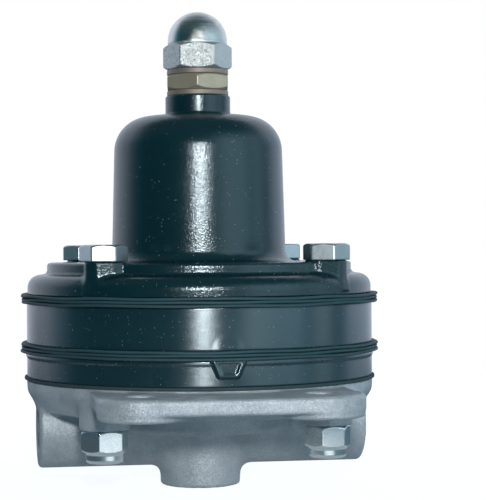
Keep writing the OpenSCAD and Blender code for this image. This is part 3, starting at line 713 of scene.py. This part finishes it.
def ring_outline(low, high):
    """Section of a ring with fine rows up its outer wall, so that lugs can be raised on it."""
    wall = [(RING_R, z) for z in np.arange(low + RING_EDGE, high - RING_EDGE + 0.001, 0.2)]
    bevel = RING_EDGE * 0.3
    inward = [(OPEN_R, 0), (RING_R - 3, 0), (RING_R - RING_EDGE, 0), (RING_R - bevel, bevel)]
    return [(r, low + rise) for r, rise in inward] + wall + [(r, high - rise) for r, rise in reversed(inward)]


def ramp(value, soft):
    """Smooth step from 0 to 1 about nought."""
    t = np.clip(value / soft + 0.5, 0, 1)
    return t * t * (3 - 2 * t)


def raised(r, a, out, share):
    """Radius that runs over to a flat in front, which stands out from the ring, with a mask."""
    flat = (RING_R + out) / np.maximum(np.cos(a), 0.9)
    return r * (1 - share) + (flat - (RING_R - r)) * share


def lower_wall(r, z, a):
    """Raises the band at the top of the lower ring and its index lug, whose face is sunk a little."""
    side = np.abs(r * np.sin(a))
    wall = r > RING_R - 0.2
    half = 2.3 + (z - LUG_Z) * 0.405
    lug = ramp(half - side, 1.1) * ramp(z - LUG_Z - 0.1, 1.1) * (np.cos(a) > 0) * wall
    proud = BAND_OUT * ramp(z - 32.7, 0.4) * wall
    sunk = 0.3 * ramp(half - 1.1 - side, 0.9) * ramp(z - LUG_Z - 1.0, 0.9) * ramp(33.2 - z, 0.8)
    return raised(r, a, LUG_OUT, lug) + proud * (1 - lug) - sunk * lug, z


def middle_wall(r, z, a):
    """Raises the round bump at the foot of the middle ring."""
    bump = ramp(BUMP_R - np.hypot(r * np.sin(a), z - BUMP_Z), 2.8) * (np.cos(a) > 0) * (r > RING_R - 0.2)
    return raised(r, a, BUMP_OUT, bump), z


lug_angles = np.radians(np.concatenate([np.arange(-9, 9, 0.2), np.arange(9, 351, 1.0)]))
ring_paint = paint("ring_paint", 2.25, 0.85, 0.23, 0.1, 0.2, 32.2, 33.1)
lower_blank = lathe("lower_band", ring_outline(GASKET_TOP, LOWER_TOP), lug_angles, lower_wall)
lower_band = new_piece(drilled(lower_blank, 27, 35), ring_paint)
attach(lower_band, "housing")
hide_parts("lower_ring")
middle_blank = lathe("middle_band", ring_outline(36, UPPER_Z), lug_angles, middle_wall)
middle_band = new_piece(drilled(middle_blank, 35, 47), ring_paint)
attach(middle_band, "housing")
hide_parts("middle_ring")

# Diaphragms
# Two stacks of three rubber-coated fabric plies, die cut a little wider than the rings. Their rims squeeze
# out between the rings and lift unevenly. Inside the rings each stack is eight sectors.
PLY_T = 0.7
PLATE_R = 22.0
STUD_R = 3.05
WEB_HALF = math.radians(22.5)
PLIES = ("bottom", "middle", "top")

rubber, tree, shader, spot = grained("diaphragm_rubber", 0.0, (0.5, 0.75), 0.35, 5.0, (0.018, 0.058, 0.072),
                                     (0.036, 0.100, 0.118), 0.06)
rubber_dust = place(tree, dust, place=spot, spacing=1.2, amount=0.25)
clean = shader.inputs["Base Color"].links[0].from_socket
tint(tree, shader, rubber_dust.outputs["Specks"], clean, (0.16, 0.21, 0.22))


def web(name, low, facing):
    """One eighth of the three plies inside the rings, from the plates to the rings."""
    radii = [STUD_R, 12.0, *np.arange(PLATE_R, OPEN_R + 0.01, 0.5)]
    points, faces = [], []
    sweep = facing + np.linspace(-WEB_HALF, WEB_HALF, 10)
    for layer in range(len(PLIES)):
        bottom = low + layer * PLY_T
        loop = [(r, bottom) for r in radii] + [(r, bottom + PLY_T) for r in reversed(radii)]
        first, wide = len(points), len(loop)
        points += [(r * math.sin(a) * MM, -r * math.cos(a) * MM, z * MM) for a in sweep for r, z in loop]
        for at in range(first, len(points) - wide, wide):
            faces += [(at + i, at + (i + 1) % wide, at + wide + (i + 1) % wide, at + wide + i)
                      for i in range(wide)]
        faces += [tuple(range(first, first + wide)), tuple(range(len(points) - wide, len(points)))]
    mesh = bpy.data.meshes.new(name)
    mesh.from_pydata(points, [], faces)
    solid = bmesh.new()
    solid.from_mesh(mesh)
    bmesh.ops.recalc_face_normals(solid, faces=solid.faces[:])
    solid.to_mesh(mesh)
    solid.free()
    return mesh


def ply_edge(seed, layer):
    """Bend that makes a ply's rim ragged and lifts it, by its layer and at random."""
    def bend(r, z, a):
        out = np.clip((r - RING_R) / 1.3, 0, 1)
        ragged = 0.10 * wander(a, seed, 14, 3) - 0.10
        lift = 0.10 * wander(a, seed + 1, 12, 3) + 0.10 * (layer - 1)
        return r + out * ragged, z + out ** 2 * lift

    return bend


for stack, low, rims in (("lower_diaphragm", LOWER_TOP, (45.0, 44.8, 44.95)),
                         ("upper_diaphragm", UPPER_Z, (44.9, 44.8, 45.0))):
    for layer, ply in enumerate(PLIES):
        bottom = low + layer * PLY_T
        edge = ply_edge(11 * (layer + 1) + len(stack) + int(low), layer)
        outline = disc_outline(rims[layer], bottom, bottom + PLY_T, 0.3)
        sheet_mesh = lathe(f"{stack}_{ply}_sheet", outline, turns(360), edge)
        sheet_piece = new_piece(drilled(sheet_mesh, bottom - 1, bottom + 2), rubber)
        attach(sheet_piece, "housing")
        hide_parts(f"{stack}_{ply}_ply")
    for part in range(8):
        facing = part * 2 * WEB_HALF
        web_piece = new_piece(web(f"{stack}_web_{part + 1}", low, facing), rubber)
        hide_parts(*(f"{stack}_{ply}_ply" for ply in ("bottom", "middle", "top")))
        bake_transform(web_piece)

# Plates, spool and stem
# The moving stack: zinc-plated pressed plates and a turned spool that clamp the plies, tied by a bright
# turned stud whose thin stem reaches down to the valve.
pressed, tree, shader, spot = grained(
    "plate_steel", 1.0, (0.25, 0.48), 0.4, 7.0, (0.42, 0.43, 0.42), (0.62, 0.63, 0.62))
ringed(tree, shader, spot, 0.4, 0.02)
dress(pressed, "lower_plate", "spring_cup", "spring_button")
turned_alloy = turned("turned_aluminium", 0.3, 0.3, 0.015, (0.52, 0.53, 0.54), (0.70, 0.71, 0.72))
dress(turned_alloy, "diaphragm_spacer")


def zinc_plate(name, smooth, rough, dark, light):
    """Zinc with a faint flow of grain, between two roughnesses and two colours."""
    made, tree, shader, spot = finish_of(name, 1.0, smooth)
    flow, coarse = grains(tree, spot, 0.7, 3.5)
    patches, fine = grains(tree, spot, 0.15, 1.2)
    tint(tree, shader, flow, dark, light)
    spread(tree, shader, patches, smooth, rough)
    relief(tree, shader, calc(tree, "MULTIPLY_ADD", fine, 0.3, coarse), 0.005)
    return made


zinc = zinc_plate("zinc_plate", 0.28, 0.44, (0.44, 0.50, 0.52), (0.66, 0.72, 0.74))
dress(zinc, "valve_stem", "stem_nut")

# Valve
# A small brass poppet with a rubber washer.
# It hangs on the end of the stem below the seat.
dress(brass, "valve_poppet")
dress(rubber, "poppet_seal")

# Pressure spring
# Oil-tempered wire wound with a closed coil at each end, its ends ground flat, between the cup on the upper
# diaphragm and the button under the adjuster. It is made in two lengths, the coils at its foot and the rest.
def geometry_group(name, inputs):
    """New geometry node tree; gives the tree, its input and output nodes and its inputs' identifiers."""
    group = bpy.data.node_groups.new(name, "GeometryNodeTree")
    sockets = add_inputs(group, [("Geometry", "Geometry", None), *inputs])
    group.interface.new_socket("Geometry", in_out="OUTPUT", socket_type="NodeSocketGeometry")
    return group, group.nodes.new("NodeGroupInput"), group.nodes.new("NodeGroupOutput"), sockets


def end_tree(group, given, gives, geometry):
    """Makes a tree's copies real, gives them its finish and puts them out."""
    real = wire(group, "GeometryNodeRealizeInstances", {0: geometry}).outputs[0]
    shown = wire(group, "GeometryNodeSetMaterial", {"Geometry": real, "Material": given.outputs["Finish"]})
    group.links.new(shown.outputs[0], gives.inputs[0])


def grown(name, group, mesh, values):
    """Plain mesh that a geometry tree makes from a mesh, with its inputs set by identifier."""
    seed = bpy.data.objects.new(name, mesh)
    scene.collection.objects.link(seed)
    builder = seed.modifiers.new(name, "NODES")
    builder.node_group = group
    for identifier, value in values:
        builder[identifier] = value
    made = bpy.data.meshes.new_from_object(seed.evaluated_get(bpy.context.evaluated_depsgraph_get()))
    seed.modifiers.clear()
    bpy.data.objects.remove(seed)
    made.name = name
    return made


coil, given, gives, coil_in = geometry_group("coil_spring", [
    ("Radius", "Float", 0.0117), ("Wire", "Float", 0.0026), ("Length", "Float", 0.0357),
    ("Turns", "Float", 7.0), ("Height", "Float", 0.0496), ("From", "Float", 0.0), ("To", "Float", 1.0),
    ("Steps", "Int", 560), ("Finish", "Material", None)])
thick, length, turn_count, coil_r = (given.outputs[label] for label in ("Wire", "Length", "Turns", "Radius"))
line = wire(coil, "GeometryNodeMeshLine", {"Count": given.outputs["Steps"]})
index = wire(coil, "GeometryNodeInputIndex").outputs[0]
share = calc(coil, "DIVIDE", index, calc(coil, "SUBTRACT", given.outputs["Steps"], 1.0))
covered = calc(coil, "SUBTRACT", given.outputs["To"], given.outputs["From"])
along = calc(coil, "ADD", calc(coil, "MULTIPLY", share, covered), given.outputs["From"])
turn = calc(coil, "MULTIPLY", along, turn_count)
angle = calc(coil, "MULTIPLY", turn, 2 * math.pi)
start = calc(coil, "MULTIPLY", thick, 0.35)
closed = calc(coil, "MULTIPLY", thick, 1.04)
middle = calc(coil, "SUBTRACT", turn_count, 2.0)
ends = calc(coil, "MULTIPLY", calc(coil, "ADD", start, closed), 2.0)
pitch = calc(coil, "DIVIDE", calc(coil, "SUBTRACT", length, ends), middle)
past_first = calc(coil, "MAXIMUM", calc(coil, "SUBTRACT", turn, 1.0), 0.0)
past_open = calc(coil, "SUBTRACT", turn, calc(coil, "SUBTRACT", turn_count, 1.0))
rise = start
for operation, value, limit, lead in (("MINIMUM", turn, 1.0, closed), ("MINIMUM", past_first, middle, pitch),
                                      ("MAXIMUM", past_open, 0.0, closed)):
    rise = calc(coil, "ADD", rise, calc(coil, "MULTIPLY", calc(coil, operation, value, limit), lead))
helix = wire(coil, "CombineXYZ", {0: calc(coil, "MULTIPLY", calc(coil, "COSINE", angle), coil_r),
                                  1: calc(coil, "MULTIPLY", calc(coil, "SINE", angle), coil_r), 2: rise})
wound = wire(coil, "GeometryNodeSetPosition", {"Geometry": line.outputs[0], "Position": helix.outputs[0]})
path = wire(coil, "GeometryNodeMeshToCurve", {0: wound.outputs[0]})
section = wire(coil, "GeometryNodeCurvePrimitiveCircle", {
    "Resolution": 20, "Radius": calc(coil, "MULTIPLY", thick, 0.5)})
tube = wire(coil, "GeometryNodeCurveToMesh", {
    "Curve": path.outputs[0], "Profile Curve": section.outputs[0], "Fill Caps": True})
now = wire(coil, "SeparateXYZ", {0: wire(coil, "GeometryNodeInputPosition").outputs[0]})
ground_z = calc(coil, "MINIMUM", calc(coil, "MAXIMUM", now.outputs[2], 0.0), length)
ground_at = wire(coil, "CombineXYZ", {0: now.outputs[0], 1: now.outputs[1],
                                      2: calc(coil, "ADD", ground_z, given.outputs["Height"])})
ground = wire(coil, "GeometryNodeSetPosition", {
    "Geometry": tube.outputs[0], "Position": ground_at.outputs[0]})
smooth = wire(coil, "GeometryNodeSetShadeSmooth", {"Geometry": ground.outputs[0]})
end_tree(coil, given, gives, smooth.outputs[0])

spring_steel, *_ = grained(
    "spring_steel", 1.0, (0.25, 0.5), 0.4, 3.0, (0.10, 0.11, 0.13), (0.24, 0.26, 0.29))
for name, first, final, points, lower_body, upper_body, bend_low, bend_high in (
        ("spring_foot", 0.0, 2 / 7, 161, "valve_stack", "housing", 0.0530, 0.0588),
        ("spring_coils", 2 / 7, 1.0, 401, "housing", "spring_seat", 0.0592, 0.0815)):
    coils = new_piece(grown(name, coil, bpy.data.meshes.new("seed"), [
        (coil_in["From"], first), (coil_in["To"], final), (coil_in["Steps"], points),
        (coil_in["Finish"], spring_steel)]), spring_steel)
    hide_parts("pressure_spring")
    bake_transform(coils)

# Bonnet
# The spring housing: an aluminium die casting with four bolt lugs, a domed tower and a tapped neck, painted
# all over in the same black enamel as the rings. A pad at the rear holds the signal port.
BONNET_R = 43.2
BONNET_LOW = 48.1
BONNET_TOP = 97.8
BOLT_SEAT_Z = 56.4
SIGNAL_Z = 70.0
SCREW_BORE_R = 5.05


def profile(points):
    """Distance from the solid that an outline of (radius, height) sweeps, from a table for big grids."""
    points = np.array(points)

    def exact(r, z):
        best, sign = np.full(r.shape, 1e9), np.ones(r.shape)
        for (ax, ay), (bx, by) in zip(points, np.roll(points, -1, 0)):
            ex, ey = bx - ax, by - ay
            wx, wy = r - ax, z - ay
            t = np.clip((wx * ex + wy * ey) / (ex * ex + ey * ey), 0, 1)
            best = np.minimum(best, (wx - ex * t) ** 2 + (wy - ey * t) ** 2)
            up, down, left = z >= ay, z < by, ex * wy > ey * wx
            sign = np.where((up & down & left) | ~(up | down | left), -sign, sign)
        return sign * np.sqrt(best)

    low, high, fine = points.min(0) - 4, points.max(0) + 4, 0.1
    table_r, table_z = np.arange(0, high[0], fine), np.arange(low[1], high[1], fine)
    table = exact(*np.meshgrid(table_r, table_z, indexing="ij"))

    def quick_or_exact(r, z):
        if r.size < 400000:
            return exact(r, z)
        i = np.clip((r / fine + 0.5).astype(int), 0, len(table_r) - 1)
        j = np.clip(((z - low[1]) / fine + 0.5).astype(int), 0, len(table_z) - 1)
        return table[i, j]

    return quick_or_exact


bonnet_outside = profile(
    [(-5, BONNET_LOW), (BONNET_R, BONNET_LOW)] + arc(40, 49.8, 3.2, 0, 90, 19)
    + arc(39.1, 54.0, 0.8, 260, 180, 7) + arc(37.5, 55.2, 0.8, 0, 90, 9)
    + arc(24.9, 59, 3, 270, 180, 15) + arc(12.42, 83.8, 8.8, 2, 85, 31)
    + arc(8.8, 93.55, 0.6, 265, 180, 9) + arc(7.8, 97.4, 0.4, 0, 90, 7) + [(-5, BONNET_TOP)])


def bonnet_shape(x, y, z):
    """Distance from the bonnet."""
    r = np.hypot(x, y)
    from_signal = np.hypot(x, z - SIGNAL_Z)
    lug = block(np.abs(x) - BOLT_XY, np.abs(y) - BOLT_XY, 4.6, 4.6, 2.3)
    lug = blend_max(blend_max(lug, z - BOLT_SEAT_Z, 0.5), np.maximum(r - 42.8, 49.5 - z), 0.5)
    pad = drum(from_signal, y, 5.2, 18, 24.1, 0.5)
    solid = blend_min(blend_min(bonnet_outside(r, z), lug, 0.9), pad, 1.5)
    cone = (r - 26 + (z - 51.5) * 2.8) * 0.336
    cuts = np.minimum.reduce([
        drum(r, z, OPEN_R, 30, 51.5, 0.3),
        drum(r, z, 17.55, 50, 87.5, 4),
        np.maximum(cone, np.maximum(50 - z, z - 54.5)),
        drum(at_bolts(x, y), z, BOLT_HOLE_R, 30, 80, 0.1),
        drum(r, z, SCREW_BORE_R, 80, 120, 0.1),
        drum(from_signal, y, 2.5, 12, 60, 0.1)])
    return blend_max(solid, -cuts, 0.4)


def round_skin(name, field, reach, low, high, step):
    """Skin of a piece that reaches as far out from the Z axis on every side."""
    return skin(name, field, (-reach, -reach, low), (reach, reach, high), step)


bonnet_paint = paint("bonnet_paint", 1.72, 0.0, 0.2, 1.0, 0.0, 0.0, 0.0)
bonnet_casting = new_piece(
    round_skin("bonnet_casting", bonnet_shape, BONNET_R, BONNET_LOW, BONNET_TOP, 0.62), bonnet_paint)
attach(bonnet_casting, "housing")
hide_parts("bonnet")

# Flange bolts, nuts and nylon rings
# Four cold-headed steel bolts, bright zinc plated, from the lugs down through the stack, with self-locking
# nuts below the base whose rolled collars hold rings of nylon.
BOLT_FLATS = 10.0
BOLT_HEAD = 4.0
BOLT_LONG = 46.9
BOLT_FACE_R = 4.8
NUT_HEX = 5.3
NUT_LONG = 7.8
HEX_REACH = 5.8


def hexagon(x, y, flats, turn, soft):
    """Distance from a hexagon whose corners are slightly rounded."""
    sides = []
    for side in range(3):
        a = math.radians(30 + 60 * side + turn)
        sides.append(np.abs(x * math.cos(a) + y * math.sin(a)) - flats / 2)
    return blend_max(blend_max(sides[0], sides[1], soft), sides[2], soft)


def bevelled(r, z, height, face):
    """Distance from the cone that turns a hexagon's corners away below a face at a height."""
    return (r - face) * 0.5 + (z - height) * 0.866


def hex_body(x, y, z, flats, turn, low, high, face):
    """Distances from a hexagon between two heights and from the cones that bevel it above and below."""
    r = np.hypot(x, y)
    body = blend_max(hexagon(x, y, flats, turn, 0.25), np.abs(z - (low + high) / 2) - (high - low) / 2, 0.15)
    return body, np.maximum(bevelled(r, z, high, face), bevelled(r, -z, -low, face))


def bolt_shape(x, y, z):
    """Distance from a bolt whose head seats at height 0; the top of the head is dished a little."""
    r = np.hypot(x, y)
    head = blend_max(hexagon(x, y, BOLT_FLATS, 0, 0.25), np.abs(z - BOLT_HEAD / 2) - BOLT_HEAD / 2, 0.2)
    head = blend_max(head, bevelled(r, z, BOLT_HEAD, BOLT_FACE_R), 0.25)
    dish = drum(r, z, 3.6, 3.72, 9, 0.2)
    point = (r - 2.35) * 0.707 - (z + BOLT_LONG) * 0.707
    shank = blend_max(drum(r, z, 2.95, -BOLT_LONG, 1, 0.1), point, 0.1)
    return np.minimum(blend_max(head, -dish, 0.4), shank)


def nut_shape(x, y, z):
    """Distance from a nut whose seat is at height 0, its collar below the hexagon."""
    r = np.hypot(x, y)
    body = blend_max(*hex_body(x, y, z, BOLT_FLATS, 0, -NUT_HEX, 0, BOLT_FACE_R), 0.25)
    collar = drum(r, z, 4.5, -NUT_LONG, -3, 0.9)
    bore = np.minimum(drum(r, z, 3.0, -20, 20, 0.1), drum(r, z, 3.9, -7.4, -5.6, 0.05))
    return blend_max(blend_min(body, collar, 0.5), -bore, 0.15)


turn_labels = ("Turn Left Front", "Turn Left Rear", "Turn Right Front", "Turn Right Rear")
bolt_set, given, gives, set_in = geometry_group("bolt_set", [
    ("Pitch", "Float", 2 * BOLT_XY * MM), ("Height", "Float", 0.0),
    *((label, "Float", 0.0) for label in turn_labels), ("Finish", "Material", None)])
square = wire(bolt_set, "GeometryNodeMeshGrid", {
    "Size X": given.outputs["Pitch"], "Size Y": given.outputs["Pitch"], "Vertices X": 2, "Vertices Y": 2})
lift = wire(bolt_set, "CombineXYZ", {2: given.outputs["Height"]}).outputs[0]
corners_up = wire(bolt_set, "GeometryNodeSetPosition", {"Geometry": square.outputs[0], "Offset": lift})
which = wire(bolt_set, "GeometryNodeIndexSwitch", data_type="FLOAT")
which.index_switch_items.new()
which.index_switch_items.new()
fill(bolt_set, which, {"Index": wire(bolt_set, "GeometryNodeInputIndex").outputs[0]})
fill(bolt_set, which, {place_no: given.outputs[label] for place_no, label in enumerate(turn_labels, 1)})
turned_to = wire(bolt_set, "CombineXYZ", {2: which.outputs[0]})
stood = wire(bolt_set, "GeometryNodeInstanceOnPoints", {
    "Points": corners_up.outputs[0], "Instance": given.outputs["Geometry"], "Rotation": turned_to.outputs[0]})
end_tree(bolt_set, given, gives, stood.outputs[0])


def four_of(name, mesh, height, turns_by, finish):
    """Piece with a copy of a mesh at each bolt, turned in degrees in the order of the tree's turns."""
    values = [(set_in["Height"], height * MM), (set_in["Finish"], finish)]
    values += [(set_in[label], math.radians(turn_by)) for label, turn_by in zip(turn_labels, turns_by)]
    return new_piece(grown(name, bolt_set, mesh, values), finish)


bolt_mesh = round_skin("bolt", bolt_shape, HEX_REACH, -BOLT_LONG, BOLT_HEAD, 0.3)
bolts = four_of("bolts", bolt_mesh, BOLT_SEAT_Z, (-5, 9, -23, 20), zinc)
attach(bolts, "housing")
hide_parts("flange_bolts")
# The nuts' zinc is a lighter copy of the bolts' zinc: painted light that brightens the nuts below the base.
nut_zinc_lightened = zinc_plate("nut_zinc_lightened", 0.10, 0.24, (0.70, 0.77, 0.79), (0.92, 0.97, 0.98))
nut_mesh = round_skin("nut", nut_shape, HEX_REACH, -NUT_LONG, 0, 0.22)
nuts = four_of("nuts", nut_mesh, NUT_SEAT_Z, (11, 25, 4, 40), nut_zinc_lightened)
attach(nuts, "housing")
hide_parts("flange_nuts")
nylon, *_ = grained("nylon", 0.0, (0.4,), 0.3, 2.0, (0.55, 0.56, 0.54), (0.72, 0.72, 0.70))
dress(nylon, "nut_inserts")

# Adjuster
# A steel screw with a slot in its end.
# It is threaded its whole length, through the neck, the lock nut and the cap.
SCREW_LOW = 83.5
SCREW_TOP = 111.4
THREAD_LOW = 87.6
THREAD_TOP = 110.9
SLOT_FLOOR = 109.0
SLOT_HALF = 0.9


def adjuster_thread(r, z, a):
    """Cuts the vee thread, which runs out at both ends."""
    fade = np.clip((z - THREAD_LOW) / 0.8, 0, 1) * np.clip((THREAD_TOP - z) / 0.8, 0, 1)
    return np.where(r > 4.6, r - 0.32 * ridges(z, a, 1.0) * fade, r), z


screw_outline = ([(0.001, SCREW_LOW), (3.2, SCREW_LOW), (3.5, 83.8), (3.5, 87.4), (4.7, 87.4)]
                 + [(4.97, z) for z in np.arange(THREAD_LOW, 110.8, 0.12)]
                 + [(4.4, SCREW_TOP), (0.001, SCREW_TOP)])
slot_mesh = bpy.data.meshes.new("slot")
slot_corners = itertools.product((-7.0, 7.0), (-SLOT_HALF, SLOT_HALF), (SLOT_FLOOR, 113.0))
slot_mesh.from_pydata([Vector(corner) * MM for corner in slot_corners], [],
                      [(0, 1, 3, 2), (4, 6, 7, 5), (0, 4, 5, 1), (2, 3, 7, 6), (0, 2, 6, 4), (1, 5, 7, 3)])
slotted_screw = new_piece(
    cut_out(lathe("slotted_screw", screw_outline, turns(64), adjuster_thread), slot_mesh), zinc)
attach(slotted_screw, "adjuster")
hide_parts("adjuster_screw")

# Copper washers
# Two soft copper sealing washers, dulled to a pinkish tan.
# One is under the lock nut and one under the cap nut.
copper, tree, shader, spot = grained(
    "dull_copper", 0.7, (0.5, 0.7), 0.25, 2.5, (0.32, 0.27, 0.23), (0.48, 0.41, 0.36))
ringed(tree, shader, spot, 0.2, 0.03)
dress(copper, "lock_washer", "cap_washer")

# Lock nut and cap nut
# The lock nut is thin, yellow passivated and worn; the cap nut is milled from bright hexagon bar, its ball
# end turned with a form tool that left fine rings, and its flats plated over a blasted skin.
CAP_FLATS = 15.2
CAP_FACE_R = 7.4
CAP_REACH = 8.8
LOCK_LOW = 99.1
LOCK_TOP = 103.1
CAP_LOW = 104.4
CAP_HEX_TOP = 110.8
CAP_TOP = 119.1
BALL_R = 7.5
BALL_Z = 111.6


def lock_shape(x, y, z):
    """Distance from the lock nut."""
    body = blend_max(*hex_body(x, y, z, CAP_FLATS, 21, LOCK_LOW, LOCK_TOP, CAP_FACE_R), 0.2)
    return blend_max(body, -drum(np.hypot(x, y), z, SCREW_BORE_R, 90, 110, 0.1), 0.2)


def cap_shape(x, y, z):
    """Distance from the cap nut."""
    r = np.hypot(x, y)
    body = blend_max(*hex_body(x, y, z, CAP_FLATS, -9, CAP_LOW, CAP_HEX_TOP, CAP_FACE_R), 0.2)
    dome = np.where(z < BALL_Z, np.maximum(r - BALL_R, 105.5 - z), np.hypot(r, z - BALL_Z) - BALL_R)
    bore = drum(r, z, SCREW_BORE_R, 90, 113.6, 0.5)
    return blend_max(blend_min(body, dome, 0.15), -bore, 0.2)


passivated, *_ = grained(
    "yellow_passivated", 0.6, (0.38, 0.55), 0.35, 3.0, (0.47, 0.38, 0.24), (0.70, 0.62, 0.49), 0.03)
locking_nut = new_piece(
    round_skin("locking_nut", lock_shape, CAP_REACH, LOCK_LOW, LOCK_TOP, 0.22), passivated)
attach(locking_nut, "lock")
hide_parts("lock_nut")

bright_cap, tree, shader, spot = finish_of("bright_cap", 1.0, 0.2)
clouds, _ = grains(tree, spot, 0.32, 4.0)
cap_lines = place(tree, turning, place=spot, pitch=0.09)
on_dome = ranged(tree, wire(tree, "SeparateXYZ", {0: spot}).outputs[2], 110.9, 111.3)
tint(tree, shader, clouds, (0.62, 0.64, 0.63), (0.78, 0.80, 0.79))
spread(tree, shader, on_dome, 0.5, 0.17)
blasted = place(tree, sparkle, place=spot, grain_size=0.15, tilt=0.62)
rings_cut = wire(tree, "Bump", {"Height": cap_lines.outputs["Lines"], "Strength": 1, "Distance": 0.04 * MM})
flat_or_ball = wire(tree, "Mix", {0: on_dome, 4: blasted.outputs["Normal"], 5: rings_cut.outputs[0]},
                    data_type="VECTOR")
tree.links.new(flat_or_ball.outputs[1], shader.inputs["Normal"])
capping_nut = new_piece(round_skin("capping_nut", cap_shape, CAP_REACH, CAP_LOW, CAP_TOP, 0.22), bright_cap)
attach(capping_nut, "cap")
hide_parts("cap_nut")
